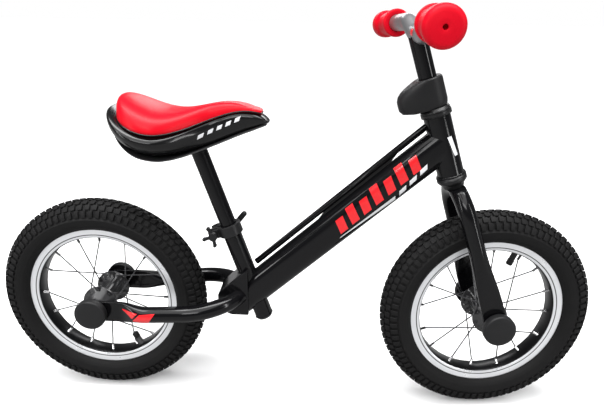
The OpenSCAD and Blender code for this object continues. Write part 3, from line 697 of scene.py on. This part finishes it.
DROPOUT_Y = 47.7
PLATE_HALF = 2.5
PLATE_HEIGHT = 15
AXLE_END = (-4, -8, -11, -13, -14.3, -14.85)

STAY_PLATE_END = 36
STAY_TUBE_FROM = 75
STAY_BEND_FROM = 126
STAY_SET_OUT = 5.8
STAY_BEND = math.radians(66)
STAY_BEND_R = 76.3


def flattening(stop, tube_at, plate_at, half_height):
    """Section of a tube that flattens into a dropout plate with a rounded end."""
    k = smooth_step((stop - plate_at) / (tube_at - plate_at))
    edge = math.sqrt(max(0.004, 1 - (min(0, stop) / half_height) ** 2))
    return (mix(PLATE_HALF, TUBE_R, k), mix(half_height * edge, TUBE_R, k), mix(0.2, 1, k))


def chainstay_axis(s):
    """The left stay's centre line, s along it from the rear axle."""
    pitch, flare = math.radians(6.5), math.radians(4.7)
    ahead = Vector(
        (math.cos(pitch) * math.cos(flare), math.sin(flare), math.sin(pitch) * math.cos(flare))
    ).normalized()
    inward = Vector((0, 0, 1)).cross(ahead).normalized()
    if s < STAY_PLATE_END:
        return Vector((s, DROPOUT_Y, 0))
    if s < STAY_TUBE_FROM:
        set_out = smooth_step((s - STAY_PLATE_END) / (STAY_TUBE_FROM - STAY_PLATE_END))
        return Vector((s, DROPOUT_Y + STAY_SET_OUT * set_out, 0))
    foot = Vector((STAY_TUBE_FROM, DROPOUT_Y + STAY_SET_OUT, 0))
    if s < STAY_BEND_FROM:
        return foot + (s - STAY_TUBE_FROM) * ahead
    bend = min(STAY_BEND, (s - STAY_BEND_FROM) / STAY_BEND_R)
    rest = max(0.0, s - STAY_BEND_FROM - STAY_BEND * STAY_BEND_R)
    straight = STAY_BEND_FROM - STAY_TUBE_FROM
    forward = straight + STAY_BEND_R * math.sin(bend) + rest * math.cos(bend)
    sideways = STAY_BEND_R * (1 - math.cos(bend)) + rest * math.sin(bend)
    return foot + forward * ahead - sideways * inward


def stay_section(s):
    return flattening(s, STAY_TUBE_FROM, STAY_PLATE_END, PLATE_HEIGHT)


def build_chainstay(side):
    stops = [222, 217, 212] + list(range(208, 124, -4)) + [110, 92] + list(range(75, 36, -4))
    stops += [36, 20, 0, *AXLE_END]
    path = [chainstay_axis(s) for s in stops]
    bm = swept(path, [stay_section(s) for s in stops], (0, 0, -1), sides=56)
    at = WHEELS["rear"] @ SIDES[side]
    piece = make_piece(f"{side}_chainstay_finish", bm, "frame", gloss_black(), at, sharp=50)
    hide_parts(side + "_chainstay")


def blade_axis(s):
    """The left blade's centre line above its dropout: shoulder, bend of `sweep`, and leg."""
    start, sweep, radius = 58.0, 54.0, 46.0
    a = math.radians(start - max(0.0, min(sweep, s)))
    top = math.radians(start)
    end = math.radians(start - sweep)
    before, after = min(0, s), max(0, s - sweep)
    y = 16 + radius * (math.cos(a) - math.cos(top)) + before * math.sin(top) + after * math.sin(end)
    h = 189 - radius * (math.sin(top) - math.sin(a)) - before * math.cos(top) - after * math.cos(end)
    return Vector((0, y, h))


def build_blade(side):
    plate_top = 28
    path = [blade_axis(s) for s in [-16, -8, 0] + list(range(3, 55, 3)) + [62, 74, 88, 100]]
    last = path[-1]
    for h in [*range(104, 37, -6), 33, plate_top, 14, 0, *AXLE_END]:
        if h < last.z - 2:
            run = smooth_step((last.z - h) / (last.z - plate_top))
            path.append(Vector((0, mix(last.y, DROPOUT_Y, run), h)))
    sizes = [
        flattening(p.z, last.z, plate_top, PLATE_HEIGHT) if p.z < last.z else (TUBE_R, TUBE_R, 1)
        for p in path
    ]
    bm = swept(path, sizes, (1, 0, 0), sides=56)
    for point, normal in (((0, 0.02, 0), (0, -1, 0)), ((0, 0, 192), (0, 0, 1))):
        cut = bmesh.ops.bisect_plane(
            bm, geom=bm.verts[:] + bm.edges[:] + bm.faces[:],
            plane_co=point, plane_no=normal, clear_outer=True,
        )
        rim = [g for g in cut["geom_cut"] if isinstance(g, bmesh.types.BMEdge)]
        bmesh.ops.holes_fill(bm, edges=rim, sides=0)
    at = FORK @ SIDES[side]
    piece = make_piece(f"{side}_fork_blade_finish", bm, "fork", gloss_black(), at, sharp=50)
    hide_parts(side + "_fork_blade")


def build_head_weld():
    """A painted weld round the head tube: a wavy ring."""
    around, through = 120, 12

    def shape(i, j):
        turn = math.tau * j / around
        ripple = 1.5 * (1 + 0.16 * math.sin(turn * 34) + 0.08 * math.sin(turn * 13 + 1))
        a = math.tau * i / through
        out = HEAD_TUBE_R + ripple * math.cos(a)
        return Vector((out * math.cos(turn), out * math.sin(turn), ripple * 1.2 * math.sin(a)))

    bm = shaped_grid(through, around, shape)
    at = HEAD @ Matrix.Translation((0, 0, 209))
    piece = make_piece("head_weld", bm, "frame", gloss_black(), at, sharp=80)


def on_main_tube(along, up, out):
    """A point `out` off the main tube's left face, or its right face where out is negative."""
    slope = math.radians(41.9)
    ahead = Vector((math.cos(slope), 0, math.sin(slope)))
    above = Vector((-math.sin(slope), 0, math.cos(slope)))
    half_flat, round_r = 5.5, 17.0
    lift = abs(up) - half_flat
    depth = round_r if lift <= 0 else math.sqrt(max(0.0, round_r**2 - lift**2))
    outward = Vector((0, math.copysign(depth + abs(out), out), 0))
    return Vector((-21.5, 0, 196.2)) + ahead * along + above * up + outward


def decal(name, corners, surface, material, body, slices=14, thick=0.15):
    """A patch laid `thick` off a surface: corners is four (along, up), surface gives the point."""
    a, b, c, d = corners
    bm = bmesh.new()
    bmesh.ops.create_grid(bm, x_segments=slices, y_segments=slices, size=1.0)
    for v in bm.verts:
        s = round((v.co.x + 1) / 2 * slices) / slices
        t = round((v.co.y + 1) / 2 * slices) / slices
        low = (mix(a[0], b[0], s), mix(a[1], b[1], s))
        high = (mix(d[0], c[0], s), mix(d[1], c[1], s))
        v.co = surface(mix(low[0], high[0], t), mix(low[1], high[1], t), thick)
    return make_piece(name, bm, body, material, sharp=80)


def build_main_decals():
    """Both faces of the main tube: a tapering stripe, white blocks, and a row of slanted bars."""
    for side, sign in (("right", -1), ("left", 1)):
        def surface(along, up, lift, sign=sign):
            return on_main_tube(along, up, sign * lift)

        stripe = [(104, -12.6), (195, -17.4), (198, -12.4), (106, -11.8)]
        decal(f"{side}_white_stripe", stripe, surface, decal_white(), "frame")
        for k in range(3):
            start = 202 + 18.5 * k
            low = -16.2 + 2.6 * k
            block = [(start, low), (start + 12, low + 1.2), (start + 16, low + 7.0), (start + 4, low + 5.8)]
            decal(f"{side}_white_block_{k + 1}", block, surface, decal_white(), "frame")
        for k in range(7):
            start = 110 + 20.5 * k
            foot = -8.5 + 0.6 * k
            tall = foot + 19 + 4.0 * (k % 2)
            bar = [(start, foot), (start + 12.5, foot), (start + 18.5, tall), (start + 6, tall)]
            decal(f"{side}_red_bar_{k + 1}", bar, surface, decal_red(), "frame")


def build_stay_decals():
    """Two red patches, nose to nose, on the outer face of each chainstay."""
    for side, sign in (("right", -1), ("left", 1)):
        def surface(along, up, lift, sign=sign):
            ahead = (chainstay_axis(along + 2) - chainstay_axis(along - 2)).normalized()
            outward = Vector((-ahead.y, ahead.x, 0)).normalized()
            half_w, half_h, power = stay_section(along)
            v = min(0.97, abs(up) / half_h)
            outer = half_w * math.cos(math.asin(v ** (1 / power))) ** power + lift
            point = chainstay_axis(along) + outward * outer
            return Vector((point.x - HALF_WHEELBASE, sign * point.y, point.z + AXLE_HEIGHT + up))

        first = [(43, 6.0), (44, 7.5), (68, 6.4), (60, -3.5)]
        second = [(60, -6.8), (82, -8.2), (93, 6.8), (71, 5.6)]
        decal(f"{side}_stay_decal_rear", first, surface, decal_red(), "frame", thick=0.35)
        decal(f"{side}_stay_decal_front", second, surface, decal_red(), "frame", thick=0.35)


def build_head_badge():
    """Two plain slanted white bars on the front of the head tube."""
    def surface(turn, height, lift):
        a = math.radians(turn)
        out = HEAD_TUBE_R + lift
        return HEAD @ Vector((out * math.cos(a), out * math.sin(a), height))

    for side, sign in (("right", -1), ("left", 1)):
        bar = [(sign * 44, 236), (sign * 62, 236), (sign * 76, 262), (sign * 56, 262)]
        badge = decal(f"head_badge_{side}", bar, surface, decal_white(), "frame", thick=0.2)


def build_clamp_cover():
    """Moulded cover over the stem clamp: round at the front, humped over the bolt at the rear."""
    side_view = [(300.8, 34), (303.5, 41.5), (308, 43.8), (314, 44), (320, 43.6), (325, 41.2)]
    side_view += [(329, 37), (332, 31.5), (334.5, 25.5), (336.6, 20.5), (338, 18)]
    insets = [2.2, 0.7, 0, 0, 0, 0, 0, 0, 0, 0.4, 1.8]
    rows = [(height, back, inset, None) for (height, back), inset in zip(side_view, insets)]
    rows += [(337.6, 0, 0, 11.6), (302, 0, 0, 13.4), (300.8, 34, 2.2, None)]
    around = 72

    def shape(i, j):
        height, back, inset, bore = rows[j]
        c, s = math.cos(math.tau * i / around), math.sin(math.tau * i / around)
        if bore:
            return Vector((bore * c, bore * s, height))
        if c >= 0:
            return Vector(((17.8 - inset) * c, (17.8 - inset) * s, height))
        width = (17.0 - inset) * bulge(s, 0.85) + 0.8 * s
        return Vector(((back - inset) * bulge(c, 0.62), width, height))

    bm = shaped_grid(around, len(rows) - 1, shape)
    piece = make_piece("stem_clamp_cover_finish", bm, "fork", moulded_plastic(), FORK)
    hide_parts("stem_clamp_cover")


# ---------- seat ----------

SADDLE_TAIL_X = -232.5
SADDLE_LENGTH = 202.0
TOP_HEIGHTS = (458, 439, 386, 442, 454, 410)
SEAM_HEIGHTS = (425, 394.5, 383.5, 403, 443, 414)
LOW_HEIGHTS = (388, 357, 356.5, 364, 398, 402)
PAD_FROM = 0.066
PAD_TO = 0.955
SADDLE_HALF_WIDTH = 62.5
NOSE_HALF_WIDTH = 16.5
SIDE_POWER = 0.66
SADDLE_AROUND = 72
SADDLE_ALONG = 64
SADDLE_STATIONS = [
    0.002 + 0.996 * (0.5 - 0.5 * math.cos(math.pi * j / SADDLE_ALONG)) for j in range(SADDLE_ALONG + 1)
]


def tail_round(t, run=0.24):
    """Rises from 0 at the tail to 1, as a quarter circle does."""
    return math.sqrt(max(0.0, 1 - (1 - min(1.0, t / run)) ** 2))


def nose_round(t):
    """Falls from 1 to 0 over the last of the nose."""
    return math.sqrt(max(0.0, 1 - max(0.0, (t - 0.88) / 0.12) ** 2))


def curve(heights, t):
    """A Bezier curve with six control heights."""
    shares = zip((1, 5, 10, 10, 5, 1), heights)
    return sum(w * t**i * (1 - t) ** (5 - i) * h for i, (w, h) in enumerate(shares))


def plan_width(t):
    return mix(SADDLE_HALF_WIDTH, NOSE_HALF_WIDTH, smooth_step((t - 0.294) / 0.372))


def side_section(t):
    """Half width, middle height and half height of the saddle's sides."""
    width = plan_width(t) * (0.3 + 0.7 * tail_round(t)) * (0.4 + 0.6 * nose_round(t))
    low, seam = curve(LOW_HEIGHTS, t), curve(SEAM_HEIGHTS, t)
    tall = seam - low
    top = seam + 3.2 * (1 - smooth_step((t - 0.75) / 0.2)) - 5 * (1 - nose_round(t))
    foot = low + 2.5 + tall * (0.5 * (1 - tail_round(t)) + 0.3 * (1 - nose_round(t)))
    return width, (top + foot) / 2, (top - foot) / 2


def end_scale(j):
    """How much a station's section shrinks, to round off both ends."""
    near = min(j, SADDLE_ALONG - j)
    return (0.55, 0.8, 0.93, 0.985)[near] if near < 4 else 1.0


def saddle_x(t):
    return SADDLE_TAIL_X + t * SADDLE_LENGTH


def side_point(t, a, squeeze=1.0, lift=0.0):
    """A point at angle a round the black sides, t along the saddle."""
    width, middle, half = side_section(t)
    s = bulge(math.sin(a), SIDE_POWER)
    flare = mix(0.84, 1.0, smooth_step((s + 1) / 1.4))
    out = bulge(math.cos(a), SIDE_POWER) * (width * flare * squeeze + lift)
    return Vector((saddle_x(t), out, middle + 0.6 + s * (half - 0.6) * squeeze))


def pad_point(u, a, squeeze=1.0, puff=0.0):
    """A point at angle a round the red panel, u along it: crowned above, tucked in below."""
    t = mix(PAD_FROM, PAD_TO, u)
    tail, nose = tail_round(u, 0.232), nose_round(u)
    width = plan_width(t) * 0.93 * (0.35 + 0.65 * tail) * (0.4 + 0.6 * nose) * squeeze
    foot = curve(SEAM_HEIGHTS, t) + 1.6
    rise = (curve(TOP_HEIGHTS, t) - foot) * mix(0.65, 1, tail) * mix(0.13, 1, nose)
    crown = max(2.5, rise) * squeeze**0.5
    s = math.sin(a)
    height = crown * s**0.9 + puff * math.sin(math.pi * s) if s > 0 else 3.0 * s * squeeze
    tuck = 1 - 0.05 * max(0.0, -s)
    return Vector((saddle_x(t), width * tuck * bulge(math.cos(a), 0.78), foot + height))


def saddle_shape(point):
    """A closed form whose section at each station is point(station, angle, squeeze)."""
    def shape(i, j):
        return point(SADDLE_STATIONS[j], math.tau * i / SADDLE_AROUND, end_scale(j))

    return close_ends(shaped_grid(SADDLE_AROUND, SADDLE_ALONG, shape))


def build_saddle():
    """The padded sides and the padded panel on top of them."""
    body = make_piece("saddle_sides", saddle_shape(side_point), "seat", saddle_black(), sharp=75)
    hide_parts("saddle_body")
    red = saddle_red()
    puff = settings().seat.puff / MM
    top = saddle_shape(lambda t, a, squeeze: pad_point(t, a, squeeze, puff))
    pad = make_piece("saddle_top", top, "seat", red, sharp=75)
    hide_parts("saddle_pad")


def build_saddle_seam():
    """The piping that runs round the red panel where it is sewn to the sides."""
    stops = range(SADDLE_ALONG + 1)
    near = [pad_point(SADDLE_STATIONS[j], math.pi, end_scale(j)) for j in stops]
    far = [pad_point(SADDLE_STATIONS[j], 0.0, end_scale(j)) for j in reversed(stops)]
    path = near + far
    total = len(path)

    def shape(i, j):
        heading = (path[(j + 1) % total] - path[j - 1]).normalized()
        side = heading.cross(Vector((0, 0, 1))).normalized()
        rise = side.cross(heading)
        a = math.tau * i / 10
        return path[j % total] + Vector((0, 0, -0.3)) + 0.9 * (side * math.cos(a) + rise * math.sin(a))

    bm = shaped_grid(10, total, shape)
    seam = make_piece("saddle_seam", bm, "seat", saddle_black(), sharp=80, weld=0.01)


def build_saddle_plate():
    """The moulded plate under the saddle."""
    def point(t, a, squeeze):
        width, middle, half = side_section(t)
        out = bulge(math.cos(a), 0.5) * width * 0.83 * squeeze
        height = middle - half - 0.4 + 1.8 * bulge(math.sin(a), 0.6) * squeeze
        return Vector((saddle_x(mix(0.02, 0.985, t)), out, height))

    bm = saddle_shape(point)
    plate = make_piece("saddle_base_plate", bm, "seat", saddle_plastic(), sharp=60)
    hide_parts("saddle_base")


def build_saddle_marks():
    """Five plain white marks along the right side."""
    def surface(along, up, lift):
        t = (along - SADDLE_TAIL_X) / SADDLE_LENGTH
        width, middle, half = side_section(t)
        s = max(-0.97, min(0.97, (up - middle - 0.6) / (half - 0.6)))
        a = math.copysign(math.asin(abs(s) ** (1 / SIDE_POWER)), -s) - math.pi
        return side_point(t, a, lift=lift)

    for k in range(5):
        x = -120 + 11.5 * k
        z = 392 + 5.2 * k
        bar = [(x, z - 3.2), (x + 6.5, z - 0.4), (x + 8.5, z + 5.4), (x + 2, z + 2.6)]
        mark = decal(f"saddle_mark_{k + 1}", bar, surface, decal_white(), "seat", slices=8, thick=0.3)


# ---------- handlebar ----------

BAR_R = 11.1
BAR_BEND_R = 30
BAR_RISE = 15
BAR_RISE_END = 56.06
BAR_END_LENGTH = 140.59
BAR_SWEEP = math.radians(5.5)
GRIP_LENGTH = 84


def bar_end_place(flip):
    """Where a grip's end of the bar stands, with Z outwards along it."""
    rise_end = Matrix.Translation((0, BAR_RISE_END, BAR_RISE))
    return BAR @ flip @ rise_end @ Matrix.Rotation(BAR_SWEEP, 4, "Z") @ ALONG_AXLE


def build_bar():
    """The bar: a flat middle, an S bend up to each side, and two ends swept back."""
    half = [Vector((0, 0, 0)), Vector((0, 7, 0))]
    for a in range(0, 31, 3):
        r = math.radians(a)
        half.append(Vector((0, 14 + BAR_BEND_R * math.sin(r), BAR_BEND_R * (1 - math.cos(r)))))
    for a in range(30, -1, -3):
        r = math.radians(a)
        height = BAR_RISE - BAR_BEND_R * (1 - math.cos(r))
        half.append(Vector((0, BAR_RISE_END - BAR_BEND_R * math.sin(r), height)))
    for reach in (6, 40, 80, 100):
        across = BAR_RISE_END + reach * math.cos(BAR_SWEEP)
        half.append(Vector((-reach * math.sin(BAR_SWEEP), across, BAR_RISE)))
    path = [Vector((p.x, -p.y, p.z)) for p in reversed(half[1:])] + half
    bm = swept(path, [(BAR_R, BAR_R, 1)] * len(path), (1, 0, 0), sides=64)
    bar = make_piece("handlebar_finish", bm, "handlebar", bar_silver(), BAR, sharp=60)
    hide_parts("handlebar")

    def surface(along, turn, lift):
        a = math.radians(turn)
        out = BAR_R + lift
        return BAR @ Vector((out * math.cos(a), along, out * math.sin(a)))

    patch = [(-15, 172), (-1, 168), (5, 126), (-9, 130)]
    decal("bar_red_patch", patch, surface, decal_red(), "handlebar", slices=10, thick=0.2)


def grip_profile(start, end):
    """Section of a grip: flange, waisted and ribbed hold, and a rounded end with a small hole."""
    profile = [(11.15, start + 4), (11.15, start + 0.6), (12, start)]
    profile += arc(16.7, start + 2.0, 2.0, -90, -10, 6)
    profile += [(18.9, start + 4), (18.95, start + 8)]
    profile += arc(16.4, start + 9.6, 2.4, 0, 80, 6)
    for i in range(12):
        k = i / 11
        waist = 0.9 * math.cos(k * math.pi) ** 2 * (1 - k)
        profile.append((15.6 + waist + 0.25 * math.sin(k * 30), start + 14 + 36 * k))
    profile += [(15.9, end - 32), (16.6, end - 29.5), (18.0, end - 27.6), (18.9, end - 25.5)]
    profile += [(19.25, end - 22), (19.3, end - 14), (19.3, end - 9.2)]
    profile += arc(13.0, end - 9.2, 6.3, 0, 30, 5)[1:]
    profile += [(18.15, end - 5.4), (17.9, end - 5.2)]
    profile += arc(12.5, end - 7.0, 6.2, 22, 68, 7)
    profile += [(12.5, end - 0.9), (8, end - 0.35), (3.6, end)]
    profile += [(2.7, end - 0.3), (2.4, end - 1.2), (2.4, end - 8), (0, end - 8)]
    return profile


def build_grip(side):
    bm = lathe(grip_profile(BAR_END_LENGTH - GRIP_LENGTH, BAR_END_LENGTH), steps=88)
    at = bar_end_place(SIDES[side])
    piece = make_piece(side + "_grip_finish", bm, "handlebar", grip_rubber(), at, sharp=50)
    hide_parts(side + "_grip")


# ---------- operators ----------


class BIKE_OT_tyres(bpy.types.Operator):
    """Builds both tyres with their tread blocks"""

    bl_idname = "bike.tyres"
    bl_label = "Tyres"

    def execute(self, context):
        for end in WHEELS:
            build_tyre(end)
        return {"FINISHED"}


class BIKE_OT_wheels(bpy.types.Operator):
    """Finishes the rims, hubs, spokes, caps and axle hardware"""

    bl_idname = "bike.wheels"
    bl_label = "Wheels"

    def execute(self, context):
        for end in WHEELS:
            finish_wheel(end)
        return {"FINISHED"}


class BIKE_OT_frame(bpy.types.Operator):
    """Paints the frame's tubes and builds the smooth chainstays and welds"""

    bl_idname = "bike.frame"
    bl_label = "Frame"

    def execute(self, context):
        for node in ("main_tube", "top_tube", "web_plate", "head_tube", "seat_tube"):
            refine(node, gloss_black())
        soften("yoke", gloss_black(), voxel=0.9, passes=6)
        for side in ("left", "right"):
            build_chainstay(side)
        refine("seat_tube_plug", moulded_plastic())
        for node in ("lower_headset_cup", "upper_headset_cup"):
            refine(node, satin_black())
        for node in ("lower_headset_bearing", "upper_headset_bearing", "collar_skewer"):
            refine(node, steel())
        build_head_weld()
        return {"FINISHED"}


class BIKE_OT_seat_clamp(bpy.types.Operator):
    """Finishes the collar, its lever and its nut"""

    bl_idname = "bike.seat_clamp"
    bl_label = "Seat Clamp"

    def execute(self, context):
        soften("seat_collar", satin_black(), voxel=0.5, passes=4)
        soften("collar_wing_nut", moulded_plastic(), voxel=0.4, passes=4)
        soften("collar_lever", moulded_plastic(), voxel=0.4, passes=4)
        return {"FINISHED"}


class BIKE_OT_saddle(bpy.types.Operator):
    """Builds the padded saddle and paints its post"""

    bl_idname = "bike.saddle"
    bl_label = "Saddle"

    def execute(self, context):
        build_saddle()
        build_saddle_seam()
        build_saddle_plate()
        build_saddle_marks()
        refine("seat_post", gloss_black())
        return {"FINISHED"}


class BIKE_OT_fork(bpy.types.Operator):
    """Builds the fork blades and finishes the steerer, clamp and cover"""

    bl_idname = "bike.fork"
    bl_label = "Fork"

    def execute(self, context):
        for side in ("left", "right"):
            build_blade(side)
        for node in ("steerer", "crown_race", "headset_locknut", "stem_clamp"):
            refine(node, satin_black())
        refine("stem_clamp_bolt", steel())
        build_clamp_cover()
        return {"FINISHED"}


class BIKE_OT_handlebar(bpy.types.Operator):
    """Builds the bar and both grips and paints the stem"""

    bl_idname = "bike.handlebar"
    bl_label = "Handlebar"

    def execute(self, context):
        build_bar()
        for side in ("left", "right"):
            build_grip(side)
        refine("stem", gloss_black())
        return {"FINISHED"}


class BIKE_OT_decals(bpy.types.Operator):
    """Lays plain stripes and bars on the frame"""

    bl_idname = "bike.decals"
    bl_label = "Decals"

    def execute(self, context):
        build_main_decals()
        build_stay_decals()
        build_head_badge()
        return {"FINISHED"}


def soft_light(name, size, power, at, aim):
    """A rectangular light at a place, turned towards another."""
    lamp = bpy.data.lights.new(name, "AREA")
    lamp.shape = "RECTANGLE"
    lamp.size, lamp.size_y = size
    lamp.energy = power
    holder = bpy.data.objects.new(name, lamp)
    holder.location = at
    holder.rotation_euler = (Vector(aim) - Vector(at)).to_track_quat("-Z", "Y").to_euler()
    bpy.context.scene.collection.objects.link(holder)


def dimmed_for_reflections(tree, bright, dim):
    """A colour that is bright to the camera and dim to every other ray."""
    path = nodes_of(tree, "ShaderNodeLightPath")
    mix_colour = nodes_of(tree, "ShaderNodeMix", data_type="RGBA")
    mix_colour.inputs[MIX_A].default_value = (*dim, 1)
    mix_colour.inputs[MIX_B].default_value = (*bright, 1)
    tree.links.new(path.outputs["Is Camera Ray"], mix_colour.inputs["Factor"])
    return mix_colour.outputs[MIX_RESULT]


def floor_material():
    material = bpy.data.materials.new("Studio Floor")
    material.use_nodes = True
    tree = material.node_tree
    shader = tree.nodes["Principled BSDF"]
    colour = dimmed_for_reflections(tree, settings().floor_colour, (0.3, 0.3, 0.3))
    tree.links.new(colour, shader.inputs["Base Color"])
    shader.inputs["Roughness"].default_value = 0.9
    shader.inputs["Specular IOR Level"].default_value = 0.0
    return material


def studio_world():
    world = bpy.data.worlds.new("Studio")
    world.use_nodes = True
    tree = world.node_tree
    back = tree.nodes["Background"]
    colour = dimmed_for_reflections(tree, (1.0, 1.0, 1.0), (0.17, 0.17, 0.175))
    tree.links.new(colour, back.inputs["Color"])
    back.inputs["Strength"].default_value = 1.0
    return world


def studio_floor():
    bm = bmesh.new()
    bmesh.ops.create_grid(bm, x_segments=1, y_segments=1, size=30.0)
    mesh = bpy.data.meshes.new("studio_floor")
    bm.to_mesh(mesh)
    bm.free()
    floor = bpy.data.objects.new("studio_floor", mesh)
    floor.data.materials.append(floor_material())
    bpy.context.scene.collection.objects.link(floor)


def wide_soft_sun():
    sky = bpy.data.lights.new("Wide Soft Sun", "SUN")
    sky.energy = 3.3
    sky.angle = math.radians(70)
    holder = bpy.data.objects.new("Wide Soft Sun", sky)
    holder.rotation_euler = (math.radians(18), math.radians(-8), 0)
    bpy.context.scene.collection.objects.link(holder)


def studio_camera(at, yaw, pitch, roll):
    """A camera at a place in metres, its heading turned from +Y, tipped down and rolled."""
    lens = bpy.data.cameras.new("Camera")
    lens.sensor_width = 36
    lens.lens = 31.40
    camera = bpy.data.objects.new("Camera", lens)
    flat = Vector((math.sin(yaw), math.cos(yaw), 0))
    side = Vector((math.cos(yaw), -math.sin(yaw), 0))
    up = Vector((0, 0, 1))
    ahead = flat * math.cos(pitch) - up * math.sin(pitch)
    rise = up * math.cos(pitch) + flat * math.sin(pitch)
    right = side * math.cos(roll) + rise * math.sin(roll)
    above = rise * math.cos(roll) - side * math.sin(roll)
    turned = Matrix((right, above, -ahead)).transposed().to_4x4()
    camera.matrix_world = Matrix.Translation(at) @ turned
    bpy.context.scene.collection.objects.link(camera)
    bpy.context.scene.camera = camera


class BIKE_OT_stage(bpy.types.Operator):
    """Sets the floor, the lights and the camera"""

    bl_idname = "bike.stage"
    bl_label = "Stage"

    def execute(self, context):
        studio_floor()
        context.scene.world = studio_world()
        soft_light("Overhead Softbox", (2.2, 0.5), 42, (0.0, -0.1, 1.9), (0, 0, 0.2))
        soft_light("Front Softbox", (1.2, 0.5), 16, (-0.5, -2.0, 1.5), (0, 0, 0.25))
        soft_light("Rear Softbox", (1.6, 0.4), 12, (0.2, 1.8, 1.2), (0, 0, 0.3))
        soft_light("Left Strip", (0.14, 1.5), 9, (-1.5, -0.9, 0.75), (0, 0, 0.3))
        soft_light("Right Strip", (0.14, 1.5), 9, (1.5, -0.9, 0.75), (0.1, 0, 0.3))
        wide_soft_sun()
        yaw, pitch, roll = math.radians(-2.86), math.radians(20.20), math.radians(0.84)
        studio_camera((0.045794, -0.668203, 0.54086), yaw, pitch, roll)
        context.scene.view_settings.view_transform = "Standard"
        return {"FINISHED"}


class BIKE_PT_finish(bpy.types.Panel):
    """Lists the pieces and their settings"""

    bl_label = "Balance Bike"
    bl_idname = "BIKE_PT_finish"
    bl_space_type = "VIEW_3D"
    bl_region_type = "UI"
    bl_category = "Balance Bike"

    def draw(self, context):
        chosen = context.scene.balance_bike
        for group, names in (
            (chosen.tyre, ("blocks", "depth", "colour")),
            (chosen.seat, ("top_colour", "side_colour", "grip_colour", "puff")),
            (chosen.paint, ("frame_colour", "bar_colour", "decal_red", "decal_white")),
            (chosen, ("floor_colour",)),
        ):
            for name in names:
                self.layout.prop(group, name)
        for operator in OPERATORS:
            self.layout.operator(operator.bl_idname)


OPERATORS = (
    BIKE_OT_stage, BIKE_OT_tyres, BIKE_OT_wheels, BIKE_OT_frame, BIKE_OT_seat_clamp,
    BIKE_OT_saddle, BIKE_OT_fork, BIKE_OT_handlebar, BIKE_OT_decals,
)
CLASSES = (TyreSettings, SeatSettings, PaintSettings, BikeSettings, *OPERATORS, BIKE_PT_finish)


def register():
    for cls in CLASSES:
        bpy.utils.register_class(cls)
    bpy.types.Scene.balance_bike = PointerProperty(type=BikeSettings)


def unregister():
    del bpy.types.Scene.balance_bike
    for cls in reversed(CLASSES):
        bpy.utils.unregister_class(cls)


def main():
    register()
    bpy.ops.bike.stage()
    bpy.ops.bike.tyres()
    bpy.ops.bike.wheels()
    bpy.ops.bike.frame()
    bpy.ops.bike.seat_clamp()
    bpy.ops.bike.saddle()
    bpy.ops.bike.fork()
    bpy.ops.bike.handlebar()
    bpy.ops.bike.decals()


if __name__ == "__main__":
    main()
